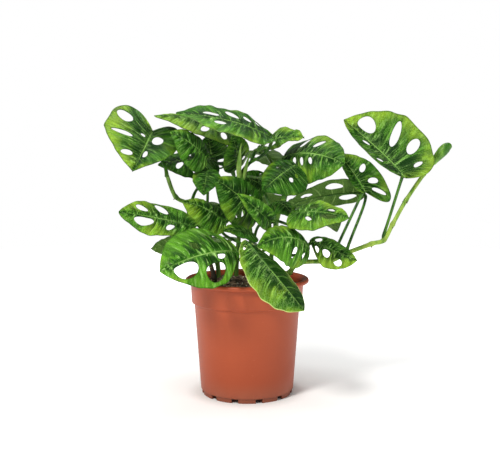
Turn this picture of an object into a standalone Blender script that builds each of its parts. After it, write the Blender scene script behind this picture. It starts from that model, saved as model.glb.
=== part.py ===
# Monstera adansonii in its 6 inch nursery pot. Metres, +Z up, front towards -Y.
# Lengths below are millimetres, angles degrees, shares run from 0 to 1.
import math
import random
import bpy
import bmesh
from mathutils import Vector
from mathutils.geometry import delaunay_2d_cdt

MM = 0.001
POT_HEIGHT = 143.0
RIM_RADIUS = 76.0
COLLAR_TOP_RADIUS = 69.4
COLLAR_FOOT_RADIUS = 68.2
COLLAR_FOOT_Z = 113.0
BODY_TOP_RADIUS = 65.0
BODY_FOOT_RADIUS = 57.4
SKIRT_HEIGHT = 5.6
WALL = 2.0
CENTRE_FOOT_RADIUS = 22.0
FOOT_NOTCHES = 12
DRAIN_HOLES = 6
SOIL_TOP_Z = 134.5
SOIL_LUMP = 2.4
SOIL_HOLE_DEPTH = 26.0
FIT_GAP = 0.35
LEAF_THICKNESS = 0.7
STEM_RADIUS = 3.1
PETIOLE_RADIUS = 1.8
POT_SEGMENTS = 40
OUTLINE_STEPS = 11

for old in list(bpy.data.objects):
    bpy.data.objects.remove(old, do_unlink=True)


def material(name, colour, roughness, coat=0.0):
    mat = bpy.data.materials.new(name)
    mat.use_nodes = True
    shader = mat.node_tree.nodes["Principled BSDF"]
    shader.inputs["Base Color"].default_value = (colour[0], colour[1], colour[2], 1.0)
    shader.inputs["Roughness"].default_value = roughness
    shader.inputs["Coat Weight"].default_value = coat
    mat.diffuse_color = (colour[0], colour[1], colour[2], 1.0)
    return mat


potMat = material("terracotta_plastic", (0.48, 0.125, 0.05), 0.5)
soilMat = material("potting_soil", (0.035, 0.018, 0.01), 0.95)
vineMat = material("vine_green", (0.16, 0.30, 0.05), 0.5)
stubMat = material("old_stem", (0.03, 0.025, 0.015), 0.8)
leafMat = material("leaf_green", (0.045, 0.20, 0.02), 0.36, 0.25)
deepMat = material("leaf_deep_green", (0.018, 0.10, 0.014), 0.4, 0.2)
freshMat = material("leaf_fresh_green", (0.11, 0.33, 0.035), 0.38, 0.25)


def mesh_object(name, verts, faces, mat):
    mesh = bpy.data.meshes.new(name)
    mesh.from_pydata([v for v in verts], [], faces)
    mesh.update()
    obj = bpy.data.objects.new(name, mesh)
    bpy.context.scene.collection.objects.link(obj)
    mesh.materials.append(mat)
    return obj


def outward(obj):
    work = bmesh.new()
    work.from_mesh(obj.data)
    bmesh.ops.recalc_face_normals(work, faces=work.faces)
    work.to_mesh(obj.data)
    work.free()


def smooth(obj, angle):
    mesh = obj.data
    mesh.shade_smooth()
    mesh.set_sharp_from_angle(angle=math.radians(angle))


def boolean(target, others, operation, solver="MANIFOLD"):
    group = bpy.data.collections.new(target.name + "_tools")
    for other in others:
        group.objects.link(other)
    step = target.modifiers.new("join", "BOOLEAN")
    step.operation = operation
    step.operand_type = "COLLECTION"
    step.collection = group
    step.solver = solver
    bpy.context.view_layer.update()
    shown = bpy.context.evaluated_depsgraph_get()
    made = bpy.data.meshes.new_from_object(target.evaluated_get(shown))
    target.modifiers.clear()
    old = target.data
    made.name = target.name
    target.data = made
    bpy.data.meshes.remove(old)
    for other in others:
        bpy.data.objects.remove(other, do_unlink=True)
    bpy.data.collections.remove(group)
    return target


def lathe(name, profile, segments, mat):
    verts = []
    faces = []
    count = len(profile)
    for i in range(segments):
        turn = 2.0 * math.pi * i / segments
        for radius, z in profile:
            verts.append((radius * math.cos(turn) * MM, radius * math.sin(turn) * MM, z * MM))
    for i in range(segments):
        j = (i + 1) % segments
        for k in range(count - 1):
            faces.append((i * count + k, j * count + k, j * count + k + 1, i * count + k + 1))
    faces.append([i * count for i in range(segments)][::-1])
    faces.append([i * count + count - 1 for i in range(segments)])
    obj = mesh_object(name, verts, faces, mat)
    outward(obj)
    return obj


def block(name, centre, size, turn):
    verts = []
    for sx in (-0.5, 0.5):
        for sy in (-0.5, 0.5):
            for sz in (-0.5, 0.5):
                x = centre[0] + sx * size[0]
                y = sy * size[1]
                z = centre[1] + sz * size[2]
                verts.append(((x * math.cos(turn) - y * math.sin(turn)) * MM,
                              (x * math.sin(turn) + y * math.cos(turn)) * MM, z * MM))
    faces = [(0, 1, 3, 2), (4, 6, 7, 5), (0, 4, 5, 1), (2, 3, 7, 6), (0, 2, 6, 4), (1, 5, 7, 3)]
    return mesh_object(name, verts, faces, potMat)


def rod(name, x, y, low, high, radius, sides):
    verts = []
    faces = []
    for z in (low, high):
        for i in range(sides):
            turn = 2.0 * math.pi * i / sides
            verts.append(((x + radius * math.cos(turn)) * MM, (y + radius * math.sin(turn)) * MM, z * MM))
    for i in range(sides):
        j = (i + 1) % sides
        faces.append((i, j, sides + j, sides + i))
    faces.append(list(range(sides))[::-1])
    faces.append(list(range(sides, 2 * sides)))
    return mesh_object(name, verts, faces, potMat)


# pot: thin wall, rolled lip, wide collar with a step, skirt of foot blocks, centre foot
FLOOR_Z = SKIRT_HEIGHT + 2.2
potProfile = [
    (CENTRE_FOOT_RADIUS - 0.4, 0.0),
    (CENTRE_FOOT_RADIUS, 0.5),
    (CENTRE_FOOT_RADIUS, SKIRT_HEIGHT - 0.2),
    (BODY_FOOT_RADIUS - 5.0, SKIRT_HEIGHT - 0.2),
    (BODY_FOOT_RADIUS - 5.0, 0.0),
    (BODY_FOOT_RADIUS - 1.8, 0.0),
    (BODY_FOOT_RADIUS - 1.4, SKIRT_HEIGHT - 0.6),
    (BODY_FOOT_RADIUS, SKIRT_HEIGHT + 0.6),
    (BODY_TOP_RADIUS, COLLAR_FOOT_Z - 0.6),
    (COLLAR_FOOT_RADIUS, COLLAR_FOOT_Z + 1.2),
    (COLLAR_TOP_RADIUS, POT_HEIGHT - 5.4),
    (RIM_RADIUS - 0.8, POT_HEIGHT - 5.0),
    (RIM_RADIUS, POT_HEIGHT - 3.4),
    (RIM_RADIUS - 0.6, POT_HEIGHT - 0.9),
    (RIM_RADIUS - 2.4, POT_HEIGHT),
    (RIM_RADIUS - 5.0, POT_HEIGHT - 0.6),
    (COLLAR_TOP_RADIUS - WALL, POT_HEIGHT - 5.0),
    (COLLAR_FOOT_RADIUS - WALL, COLLAR_FOOT_Z + 1.0),
    (BODY_TOP_RADIUS - WALL, COLLAR_FOOT_Z - 3.0),
    (BODY_FOOT_RADIUS - WALL, FLOOR_Z),
]
pot = lathe("pot", potProfile, POT_SEGMENTS, potMat)
cutters = []
for i in range(FOOT_NOTCHES):
    angle = 2.0 * math.pi * (i + 0.5) / FOOT_NOTCHES
    cutters.append(block("notch", (BODY_FOOT_RADIUS - 3.0, 1.6), (9.0, 8.4, 7.0), angle))
for i in range(DRAIN_HOLES):
    angle = 2.0 * math.pi * (i + 0.25) / DRAIN_HOLES
    cutters.append(rod("drain", 38.0 * math.cos(angle), 38.0 * math.sin(angle), 2.0, 12.0, 4.2, 8))
boolean(pot, cutters, "DIFFERENCE")
smooth(pot, 32)

# stems: place in the soil, then the points each main stem passes through
VINES = {
    "vine_right": [(46, -4), (52, -6, 150), (65, -6, 162), (102, -2, 164), (122, 0, 173), (152, -5, 185),
                   (167, -5, 190), (177, -6, 209), (193, -4, 238), (215, 0, 270), (228, 0, 287)],
    "vine_left": [(-36, 22), (-38, 22, 160), (-50, 20, 200), (-68, 10, 230), (-87, 2, 242), (-97, -2, 268)],
    "vine_back": [(-14, 34), (-13, 36, 160), (-10, 40, 205), (-14, 42, 245)],
    "vine_mid": [(8, 10), (8, 10, 158), (4, 14, 195), (-4, 16, 228), (-8, 14, 262)],
    "vine_crown": [(30, 26), (30, 26, 160), (36, 24, 205), (46, 22, 240)],
    "vine_front": [(12, -26), (12, -26, 150), (16, -24, 168)],
    "vine_stub": [(-38, -38), (-39, -40, 150), (-43, -43, 166)],
}

ROLLED_LEAF = [(221, 0, 279), (232, 0, 292), (241, -1, 302), (247, -3, 304)]

LEFT = -1
RIGHT = 1
LEAVES = []


def leaf(name, vine, node, base, tip, face, droop, widths, fold=(0, 0), curl=(-20, -20), lobes=(0.1, 0.1),
         sway=0.0, wave=0.0, full=(0.0, 0.0), holes=(), mat=leafMat, rise=30.0, leave=(0, 0, 1), via=None):
    LEAVES.append({"name": name, "vine": vine, "node": node, "base": base, "tip": tip, "face": face,
                   "droop": droop, "widths": widths, "fold": fold, "curl": curl, "lobes": lobes,
                   "sway": sway, "wave": wave, "full": full, "holes": holes, "mat": mat, "rise": rise,
                   "leave": leave, "via": via})


# leaf holes: side, share along the edge from and to, share across the half from and to
leaf("leaf_far_left", "vine_left", 5, (-115, 5, 322), (-131, -60, 275), (0.62, -0.6, 0.5), 20, (37, 55),
     (40, 0), (-30, -20), (0.4, 0.5), wave=0.9, full=(-0.2, 0.12),
     holes=[(RIGHT, 0.28, 0.40, 0.54, 0.92), (RIGHT, 0.50, 0.57, 0.36, 0.86), (RIGHT, 0.76, 0.82, 0.35, 0.85),
            (LEFT, 0.33, 0.50, 0.12, 0.48), (LEFT, 0.66, 0.77, 0.08, 0.38), (RIGHT, 0.38, 0.44, 0.10, 0.22)])
leaf("leaf_top", "vine_mid", 4, (33, -5, 313), (-83, -30, 342), (0.05, -0.5, 0.85), 30, (34, 36),
     (8, 0), (-18, -10), (0.0, -0.1), wave=1.4, full=(0.1, 0.1),
     holes=[(RIGHT, 0.24, 0.31, 0.40, 0.65), (RIGHT, 0.37, 0.44, 0.35, 0.65), (RIGHT, 0.50, 0.59, 0.3, 0.75),
            (RIGHT, 0.68, 0.80, 0.2, 0.5), (LEFT, 0.62, 0.70, 0.3, 0.6)])
leaf("leaf_under_top", "vine_back", 3, (-14, 45, 318), (-112, 0, 340), (0.0, -0.42, 0.9), 35, (32, 29),
     (-12, -10), holes=[(LEFT, 0.3, 0.38, 0.35, 0.75), (LEFT, 0.5, 0.57, 0.35, 0.75),
                      (RIGHT, 0.4, 0.48, 0.35, 0.75)])
leaf("leaf_crest", "vine_crown", 3, (17, 46, 304), (70, 14, 314), (0, -0.6, 0.8), 45, (27, 21),
     (5, 10), (-20, -30), wave=2.0, holes=[(RIGHT, 0.35, 0.55, 0.3, 0.75)])
leaf("leaf_shoulder", "vine_crown", 3, (45, 42, 289), (118, -8, 282), (0.1, -0.62, 0.78), 55, (43, 38),
     (12, -30), (-25, -35), (0.0, 0.1), wave=1.4, full=(0.1, 0.4),
     holes=[(LEFT, 0.36, 0.43, 0.3, 0.85), (LEFT, 0.56, 0.62, 0.3, 0.75), (RIGHT, 0.36, 0.42, 0.15, 0.45),
            (RIGHT, 0.48, 0.53, 0.15, 0.45), (RIGHT, 0.60, 0.65, 0.15, 0.4)])
leaf("leaf_inner_right", "vine_mid", 4, (58, -22, 282), (18, -46, 252), (0.1, -0.75, 0.6), 35, (33, 25),
     (-5, -10), (-25, -25), mat=deepMat,
     holes=[(LEFT, 0.3, 0.38, 0.3, 0.5), (LEFT, 0.45, 0.53, 0.3, 0.5), (RIGHT, 0.4, 0.48, 0.3, 0.6)],
     via=(34, -4, 264))
leaf("leaf_right_lobe", "vine_right", 3, (146, 10, 247), (112, 18, 296), (0.2, -0.95, 0.1), 35, (12, 33),
     (-45, 0), (-20, -25), (0.0, 0.72), wave=1.0, full=(0.0, -0.25),
     holes=[(RIGHT, 0.20, 0.27, 0.35, 0.85), (RIGHT, 0.33, 0.40, 0.30, 0.72),
            (RIGHT, 0.50, 0.59, 0.30, 0.75)],
     rise=12.0, leave=(0.5, 0.1, 1))
leaf("leaf_right_under", "vine_right", 4, (149, 36, 245), (48, 24, 229), (0.1, 0.8, 0.5), 25, (24, 17),
     (0, 0), (-10, -10), (0.02, 0.02), sway=-2.0,
     holes=[(RIGHT, 0.23, 0.45, 0.12, 0.6), (LEFT, 0.40, 0.57, 0.35, 0.75), (LEFT, 0.72, 0.82, 0.3, 0.7)],
     rise=10.0)
leaf("leaf_right_mid", "vine_crown", 2, (53, -30, 225), (119, -56, 221), (0.1, -0.62, 0.75), 35, (24, 32),
     (0, 5), (-20, -20), mat=freshMat, wave=1.4,
     holes=[(LEFT, 0.17, 0.25, 0.2, 0.85), (LEFT, 0.43, 0.54, 0.2, 0.62), (LEFT, 0.70, 0.79, 0.2, 0.62),
            (RIGHT, 0.65, 0.84, 0.12, 0.6), (RIGHT, 0.44, 0.54, 0.3, 0.55)],
     via=(62, -12, 206))
leaf("leaf_right_low", "vine_right", 2, (76, -12, 190), (131, -34, 168.5), (0.1, -0.8, 0.55), 5, (14, 25),
     (0, 0), (-10, -10), (0.0, -0.15), full=(0.05, 0.45),
     holes=[(LEFT, 0.20, 0.34, 0.2, 0.75), (RIGHT, 0.26, 0.38, 0.2, 0.6), (RIGHT, 0.46, 0.60, 0.12, 0.52),
            (RIGHT, 0.66, 0.78, 0.4, 0.86)])
leaf("leaf_far_right", "vine_right", 6, (188, -25, 266), (112, -45, 334), (-0.15, -0.95, 0.1), 20, (25, 52),
     (-56, 0), (-20, -15), (-0.1, 0.35), sway=2.0, wave=1.2, full=(0.2, 0.1),
     holes=[(RIGHT, 0.73, 0.88, 0.22, 0.84), (RIGHT, 0.50, 0.58, 0.25, 0.85), (RIGHT, 0.34, 0.42, 0.42, 0.82),
            (RIGHT, 0.20, 0.25, 0.45, 0.7), (LEFT, 0.68, 0.74, 0.2, 0.5), (LEFT, 0.42, 0.48, 0.4, 0.7)],
     via=(174, -8, 222))
leaf("leaf_left_mid", "vine_left", 2, (-60, -42, 209), (-146, -68, 229), (0.1, -0.62, 0.78), 14, (26, 27),
     (0, 5), (-20, -20), (-0.1, 0.1), full=(0.5, 0.45), mat=freshMat, wave=1.4,
     holes=[(RIGHT, 0.49, 0.60, 0.3, 0.88), (RIGHT, 0.71, 0.80, 0.3, 0.8), (LEFT, 0.66, 0.84, 0.15, 0.75),
            (LEFT, 0.42, 0.51, 0.25, 0.65)],
     via=(-54, -8, 203))
leaf("leaf_left_under", "vine_left", 1, (-56, -26, 191), (-114, -36, 183), (0.2, 0.7, 0.6), 20, (19, 25),
     (0, 0), (-15, -15), holes=[(LEFT, 0.5, 0.64, 0.2, 0.7)], leave=(-0.3, -1, 0.3))
leaf("leaf_front_left", "vine_front", 2, (-9, -58, 182), (-95, -112, 167), (0, -0.68, 0.72), 48, (44, 48),
     (0, 8), (-25, -30), (-0.15, -0.05), mat=freshMat, wave=1.0, full=(0.35, 0.15),
     holes=[(LEFT, 0.70, 0.89, 0.15, 0.85), (LEFT, 0.43, 0.63, 0.34, 0.88), (LEFT, 0.38, 0.50, 0.08, 0.26),
            (RIGHT, 0.58, 0.66, 0.2, 0.5), (RIGHT, 0.30, 0.40, 0.3, 0.6)])
leaf("leaf_front", "vine_front", 2, (-1, -80, 198), (63, -119, 125), (-0.25, -0.85, 0.45), 35, (31, 30),
     (-56, -5), (-20, -25), (-0.1, 0.05), wave=1.6, full=(0.6, 0.45), holes=[(RIGHT, 0.14, 0.20, 0.3, 0.65)])
leaf("leaf_round", "vine_front", 2, (74, -40, 183), (12, -58, 188), (-0.1, -0.6, 0.8), 110, (37, 33),
     (-20, 5), (-50, -40), (0.1, 0.1), mat=freshMat,
     holes=[(LEFT, 0.25, 0.31, 0.3, 0.7), (LEFT, 0.45, 0.51, 0.3, 0.7)])
leaf("leaf_pointed", "vine_mid", 1, (29, -28, 212), (-11, -64, 250), (-0.3, -0.8, 0.5), 30, (15, 12),
     (20, 20), (-10, -10))
leaf("leaf_middle", "vine_mid", 2, (14, -12, 222), (-38, -45, 267), (-0.2, -0.75, 0.5), 30, (33, 25),
     (0, 0), (-20, -20), holes=[(LEFT, 0.4, 0.5, 0.3, 0.7), (RIGHT, 0.4, 0.48, 0.3, 0.7)])
leaf("leaf_drop", "vine_left", 2, (-48, 2, 275), (-51, -33, 246), (0, -0.7, 0.6), 40, (17, 17),
     (0, 0), (-20, -20), mat=deepMat)
leaf("leaf_left_shade", "vine_left", 3, (-41, 56, 286), (-112, 34, 280), (-0.1, -0.55, 0.8), 30, (36, 26),
     (-5, 0), (-20, -20), mat=deepMat,
     holes=[(LEFT, 0.68, 0.76, 0.2, 0.7), (LEFT, 0.45, 0.55, 0.3, 0.8), (RIGHT, 0.3, 0.38, 0.3, 0.8),
            (RIGHT, 0.5, 0.58, 0.3, 0.8)])
leaf("leaf_back_fan", "vine_back", 3, (-46, 94, 276), (-50, 68, 318), (0, -0.7, 0.6), 20, (28, 26),
     (0, 0), (-20, -20), (0.3, 0.3), mat=deepMat,
     holes=[(RIGHT, 0.12, 0.2, 0.35, 0.85), (RIGHT, 0.30, 0.38, 0.3, 0.8), (LEFT, 0.12, 0.2, 0.35, 0.85),
            (LEFT, 0.3, 0.38, 0.3, 0.8)],
     via=(-36, 98, 250))
leaf("leaf_inner_top", "vine_mid", 3, (-11, 25, 277), (-18, 0, 316), (0.2, -0.75, 0.6), 30, (23, 25),
     (0, 0), (-20, -20), holes=[(RIGHT, 0.3, 0.4, 0.3, 0.8)])
leaf("leaf_left_inner", "vine_mid", 3, (-48, 4, 288), (-91, -18, 321), (0.2, -0.7, 0.7), 35, (29, 23),
     (-10, 0), (-20, -20), holes=[(LEFT, 0.45, 0.53, 0.3, 0.8)],
     via=(-30, 14, 262))
leaf("leaf_left_fold", "vine_mid", 1, (-25, -4, 210), (-79, -4, 237), (-0.1, -0.5, 0.85), 50, (31, 23),
     (0, 0), (-40, -30), mat=freshMat)
leaf("leaf_shadow", "vine_front", 2, (9, -38, 199), (-28, -60, 207), (-0.1, -0.5, 0.85), 40, (18, 17),
     (0, 0), (-15, -15), mat=deepMat)
leaf("leaf_arch", "vine_crown", 1, (27, 2, 232), (54, -14, 218), (0.2, -0.35, 0.9), 125, (17, 19),
     (0, -30), (-20, -30), mat=deepMat, holes=[(RIGHT, 0.4, 0.5, 0.3, 0.7)])
leaf("leaf_rear_left", "vine_back", 2, (-36, 78, 228), (-72, 116, 196), (-0.3, 0.5, 0.8), 40, (34, 34),
     (5, 5), (-20, -20), (0.2, 0.2), wave=1.0,
     holes=[(LEFT, 0.3, 0.4, 0.3, 0.8), (LEFT, 0.55, 0.64, 0.3, 0.8), (RIGHT, 0.22, 0.3, 0.35, 0.8),
            (RIGHT, 0.45, 0.55, 0.3, 0.8)])
leaf("leaf_rear", "vine_back", 2, (8, 88, 262), (38, 135, 205), (0.1, 0.6, 0.75), 50, (36, 36),
     (5, 5), (-20, -20), (0.2, 0.2), wave=1.0,
     holes=[(LEFT, 0.25, 0.34, 0.3, 0.8), (LEFT, 0.5, 0.6, 0.3, 0.8), (RIGHT, 0.3, 0.38, 0.35, 0.8),
            (RIGHT, 0.56, 0.64, 0.3, 0.8)])
leaf("leaf_rear_right", "vine_crown", 2, (72, 62, 235), (120, 92, 190), (0.4, 0.5, 0.75), 45, (33, 33),
     (5, 5), (-20, -20), (0.2, 0.2), mat=freshMat, wave=1.0,
     holes=[(LEFT, 0.3, 0.4, 0.3, 0.8), (RIGHT, 0.25, 0.34, 0.3, 0.8), (RIGHT, 0.5, 0.6, 0.3, 0.8)])
leaf("leaf_rear_low", "vine_back", 1, (-30, 70, 185), (-62, 118, 160), (-0.2, 0.4, 0.85), 40, (28, 28),
     (5, 5), (-20, -20), (0.2, 0.2), mat=deepMat,
     holes=[(LEFT, 0.35, 0.45, 0.3, 0.8), (RIGHT, 0.45, 0.55, 0.3, 0.8)])
leaf("leaf_rear_top", "vine_back", 3, (8, 78, 298), (50, 110, 272), (0.2, 0.4, 0.9), 35, (27, 27),
     (5, 5), (-20, -20), (0.15, 0.15), mat=freshMat,
     holes=[(LEFT, 0.4, 0.5, 0.3, 0.8), (RIGHT, 0.3, 0.4, 0.3, 0.8)])
leaf("leaf_core", "vine_crown", 2, (24, 34, 252), (-8, 28, 268), (-0.1, -0.85, 0.4), 30, (19, 17),
     mat=deepMat, holes=[(RIGHT, 0.4, 0.5, 0.3, 0.8)], rise=8.0)


def frame_of(spec):
    base = Vector(spec["base"])
    chord = Vector(spec["tip"]) - base
    along = chord.normalized()
    up = Vector(spec["face"])
    up = (up - along * up.dot(along)).normalized()
    side = along.cross(up)
    half = math.radians(spec["droop"]) / 2.0
    length = chord.length * half / math.sin(half)
    return base, along, up, side, length


# flat outline of one half: egg shape with a short point and a rounded lobe at the base,
# and full moves its widest place towards the tip
def flat_point(spec, index, length, t, q):
    turn = math.pi * t
    full = spec["full"][index]
    egg = 0.30 - full
    wide = math.sin(turn) * (1.0 + egg * math.cos(turn)) / (1.0 + 0.5 * egg * egg)
    wide *= 1.0 - max(0.0, 0.25 - 0.5 * full) * max(0.0, (t - 0.72) / 0.28) ** 1.5
    edge = 0.92 * (1.0 - math.cos(turn)) / 2.0 + 0.08 * t ** 5
    if t < 0.5:
        edge -= spec["lobes"][index] * math.sin(2.0 * math.pi * t) * (1.0 - t)
    start = length * t ** 1.5
    return spec["widths"][index] * wide * q, start + (length * edge - start) * q ** 1.5


# bend a flat leaf point (u across, v along) into its place in space
def bend(spec, frame, u, v, ripple):
    base, along, up, side, length = frame
    hand = 1 if u >= 0.0 else -1
    index = 1 if hand == RIGHT else 0
    droop = math.radians(spec["droop"])
    x = min(1.0, max(0.0, v / length))
    extra = v - x * length
    slope = droop / 2.0 - droop * x
    run = length / droop * (math.sin(droop / 2.0) - math.sin(slope))
    lift = length / droop * (math.cos(slope) - math.cos(droop / 2.0))
    tangent = along * math.cos(slope) + up * math.sin(slope)
    normal = up * math.cos(slope) - along * math.sin(slope)
    spine = base + along * run + up * lift + tangent * extra + side * (spec["sway"] * 4.0 * x * (1.0 - x))
    width = spec["widths"][index]
    fold = math.radians(spec["fold"][index])
    curl = math.radians(spec["curl"][index])
    angle = fold + curl * abs(u) / width
    across = width / curl * (math.sin(angle) - math.sin(fold))
    rise = width / curl * (math.cos(fold) - math.cos(angle))
    return spine + side * (hand * across) + normal * (rise + ripple)


def build_leaf(spec):
    frame = frame_of(spec)
    length = frame[4]
    points = [(0.0, 0.0)]
    ripples = [0.0]
    for side in (RIGHT, LEFT):
        index = 1 if side == RIGHT else 0
        steps = range(1, OUTLINE_STEPS) if side == RIGHT else range(OUTLINE_STEPS - 1, 0, -1)
        if side == LEFT:
            points.append((0.0, length))
            ripples.append(0.0)
        for k in steps:
            t = k / OUTLINE_STEPS
            u, v = flat_point(spec, index, length, t, 1.0)
            points.append((side * u, v))
            ripples.append(spec["wave"] * math.sin(6.0 * math.pi * t + side))
    outline = list(range(len(points)))
    edges = [(outline[i], outline[(i + 1) % len(outline)]) for i in range(len(outline))]
    loops = []
    for side, t0, t1, q0, q1 in spec["holes"]:
        index = 1 if side == RIGHT else 0
        start = len(points)
        for k in range(6):
            turn = 2.0 * math.pi * k / 6.0
            t = (t0 + t1) / 2.0 + (t1 - t0) / 2.0 * math.sin(turn)
            q = min(0.93, (q0 + q1) / 2.0 + (q1 - q0) / 2.0 * math.cos(turn))
            u, v = flat_point(spec, index, length, t, q)
            points.append((side * u, v))
            ripples.append(0.0)
        ring = list(range(start, start + 6))
        edges += [(ring[i], ring[(i + 1) % 6]) for i in range(6)]
        loops.append([points[i] for i in ring])
    spine = [0]
    for k in range(1, 6):
        points.append((0.0, length * k / 6.0))
        ripples.append(0.0)
        spine.append(len(points) - 1)
    spine.append(OUTLINE_STEPS)
    edges += [(spine[i], spine[i + 1]) for i in range(len(spine) - 1)]
    for side in (RIGHT, LEFT):
        index = 1 if side == RIGHT else 0
        for t in (0.2, 0.38, 0.56, 0.74):
            for q in (0.5,):
                inside = any(h[0] == side and h[1] - 0.05 < t < h[2] + 0.05 for h in spec["holes"])
                if not inside:
                    u, v = flat_point(spec, index, length, t, q)
                    points.append((side * u, v))
                    ripples.append(0.0)
    flat = [Vector(p) for p in points]
    out = delaunay_2d_cdt(flat, edges, [], 1, 0.0001)
    places = [(p.x, p.y) for p in out[0]]
    source = [ids[0] if ids else -1 for ids in out[3]]
    border = [points[i] for i in outline]
    faces = []
    for face in out[2]:
        x = sum(places[i][0] for i in face) / len(face)
        y = sum(places[i][1] for i in face) / len(face)
        if within(border, x, y) and not any(within(loop, x, y) for loop in loops):
            faces.append(tuple(face))
    verts = []
    for i, (u, v) in enumerate(places):
        ripple = ripples[source[i]] if source[i] >= 0 else 0.0
        verts.append(bend(spec, frame, u, v, ripple) * MM)
    used = sorted({i for face in faces for i in face})
    order = {old: new for new, old in enumerate(used)}
    faces = [tuple(order[i] for i in face) for face in faces]
    obj = mesh_object(spec["name"], [verts[i] for i in used], faces, spec["mat"])
    sheet = obj.modifiers.new("thickness", "SOLIDIFY")
    sheet.thickness = LEAF_THICKNESS * MM
    sheet.offset = 0.0
    sheet.use_rim = True
    smooth(obj, 50)
    return obj


def within(loop, x, y):
    inside = False
    count = len(loop)
    for i in range(count):
        x0, y0 = loop[i]
        x1, y1 = loop[(i + 1) % count]
        if (y0 > y) != (y1 > y) and x < x0 + (y - y0) / (y1 - y0) * (x1 - x0):
            inside = not inside
    return inside


# tube through points with a radius at each, ends flat
def tube(name, path, radii, sides, mat):
    verts = []
    faces = []
    count = len(path)
    guide = Vector((0.31, 0.17, 0.93))
    for i in range(count):
        ahead = path[min(count - 1, i + 1)] - path[max(0, i - 1)]
        ahead.normalize()
        first = guide.cross(ahead)
        if first.length < 0.1:
            first = Vector((1.0, 0.0, 0.0)).cross(ahead)
        first.normalize()
        second = ahead.cross(first)
        if i:
            first = previous - ahead * previous.dot(ahead)
            first.normalize()
            second = ahead.cross(first)
        previous = first
        for k in range(sides):
            turn = 2.0 * math.pi * k / sides
            spot = path[i] + (first * math.cos(turn) + second * math.sin(turn)) * radii[i]
            verts.append(spot * MM)
    for i in range(count - 1):
        for k in range(sides):
            j = (k + 1) % sides
            faces.append((i * sides + k, i * sides + j, (i + 1) * sides + j, (i + 1) * sides + k))
    faces.append(list(range(sides))[::-1])
    faces.append([(count - 1) * sides + k for k in range(sides)])
    obj = mesh_object(name, verts, faces, mat)
    outward(obj)
    return obj


def curve(points, steps):
    count = len(points)
    out = []
    for i in range(count - 1):
        a = points[max(0, i - 1)]
        b = points[i]
        c = points[i + 1]
        d = points[min(count - 1, i + 2)]
        for k in range(steps):
            s = k / steps
            out.append((b * 2.0 + (c - a) * s + (a * 2.0 - b * 5.0 + c * 4.0 - d) * s * s
                        + (b * 3.0 - a - c * 3.0 + d) * s * s * s) * 0.5)
    out.append(points[-1])
    return out


def petiole_path(spec, start):
    frame = frame_of(spec)
    half = math.radians(spec["droop"]) / 2.0
    tangent = frame[1] * math.cos(half) + frame[2] * math.sin(half)
    normal = frame[2] * math.cos(half) - frame[1] * math.sin(half)
    worst = min(44.0, max(0.0, -min(spec["fold"])))
    clear = LEAF_THICKNESS / 2.0 + FIT_GAP + 0.45 + 1.5 * math.tan(math.radians(worst + 4.0))
    end = frame[0] + tangent * 2.6 - normal * clear
    heading = (normal + tangent * 0.45).normalized()
    before = end - heading * 5.0
    leave = Vector(spec["leave"]).normalized()
    a = start
    b = start + leave * spec["rise"]
    c = before - heading * spec["rise"]
    if spec["via"]:
        middle = curve([a, a + leave * 6.0, Vector(spec["via"]), before], 2)
    else:
        middle = []
        for k in range(7):
            s = k / 6.0
            r = 1.0 - s
            middle.append(a * r ** 3 + b * 3.0 * r * r * s + c * 3.0 * r * s * s + before * s ** 3)
    return middle + [end]


def build_vine(name, spots):
    hole = spots[0]
    foot = Vector((hole[0], hole[1], SOIL_TOP_Z - SOIL_HOLE_DEPTH + 1.0))
    top = Vector((hole[0], hole[1], SOIL_TOP_Z + 6.0))
    rest = [Vector(p) for p in spots[1:]]
    path = [foot, top] + curve([top] + rest, 2)[1:]
    count = len(path)
    radii = [STEM_RADIUS * (1.0 - 0.3 * i / count) for i in range(count)]
    radii[0] = STEM_RADIUS
    radii[1] = STEM_RADIUS
    stem = tube(name, path, radii, 8, stubMat if name == "vine_stub" else vineMat)
    extra = []
    if name == "vine_right":
        bud = curve([Vector(p) for p in ROLLED_LEAF], 2)
        widths = [2.0, 4.2, 5.6, 6.6, 6.2, 4.6, 1.6]
        extra.append(tube("rolled_leaf", bud, widths, 8, freshMat))
    for spec in LEAVES:
        if spec["vine"] == name:
            start = rest[spec["node"] - 1] + Vector((0.2, 0.3, 1.0)) * (0.7 * len(extra) - 1.5)
            line = petiole_path(spec, start)
            sizes = [PETIOLE_RADIUS] * len(line)
            sizes[-2] = PETIOLE_RADIUS * 0.9
            sizes[-1] = 1.1
            extra.append(tube(name + "_petiole", line, sizes, 6, vineMat))
    if extra:
        boolean(stem, extra, "UNION")
    smooth(stem, 60)
    return stem


vines = [build_vine(name, spots) for name, spots in VINES.items()]
blades = [build_leaf(spec) for spec in LEAVES]

# soil: a plug that fills the pot, lumpy on top, with one plain hole for each stem
random.seed(7)
soilRings = [0.0, 14.0, 28.0, 42.0, 54.0, 63.6]
verts = [(0.0, 0.0, (SOIL_TOP_Z + 1.0) * MM)]
faces = []
SOIL_SEGMENTS = 20
for ring, radius in enumerate(soilRings[1:]):
    for i in range(SOIL_SEGMENTS):
        turn = 2.0 * math.pi * (i + 0.5 * (ring % 2)) / SOIL_SEGMENTS
        lump = random.uniform(-1.0, 1.0) * SOIL_LUMP * (1.0 if ring < 4 else 0.4)
        verts.append((radius * math.cos(turn) * MM, radius * math.sin(turn) * MM, (SOIL_TOP_Z + lump) * MM))
for radius, z in ((63.4, SOIL_TOP_Z - 10.0), (54.2, FLOOR_Z + FIT_GAP)):
    for i in range(SOIL_SEGMENTS):
        turn = 2.0 * math.pi * i / SOIL_SEGMENTS
        verts.append((radius * math.cos(turn) * MM, radius * math.sin(turn) * MM, z * MM))
for i in range(SOIL_SEGMENTS):
    faces.append((0, 1 + i, 1 + (i + 1) % SOIL_SEGMENTS))
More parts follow.
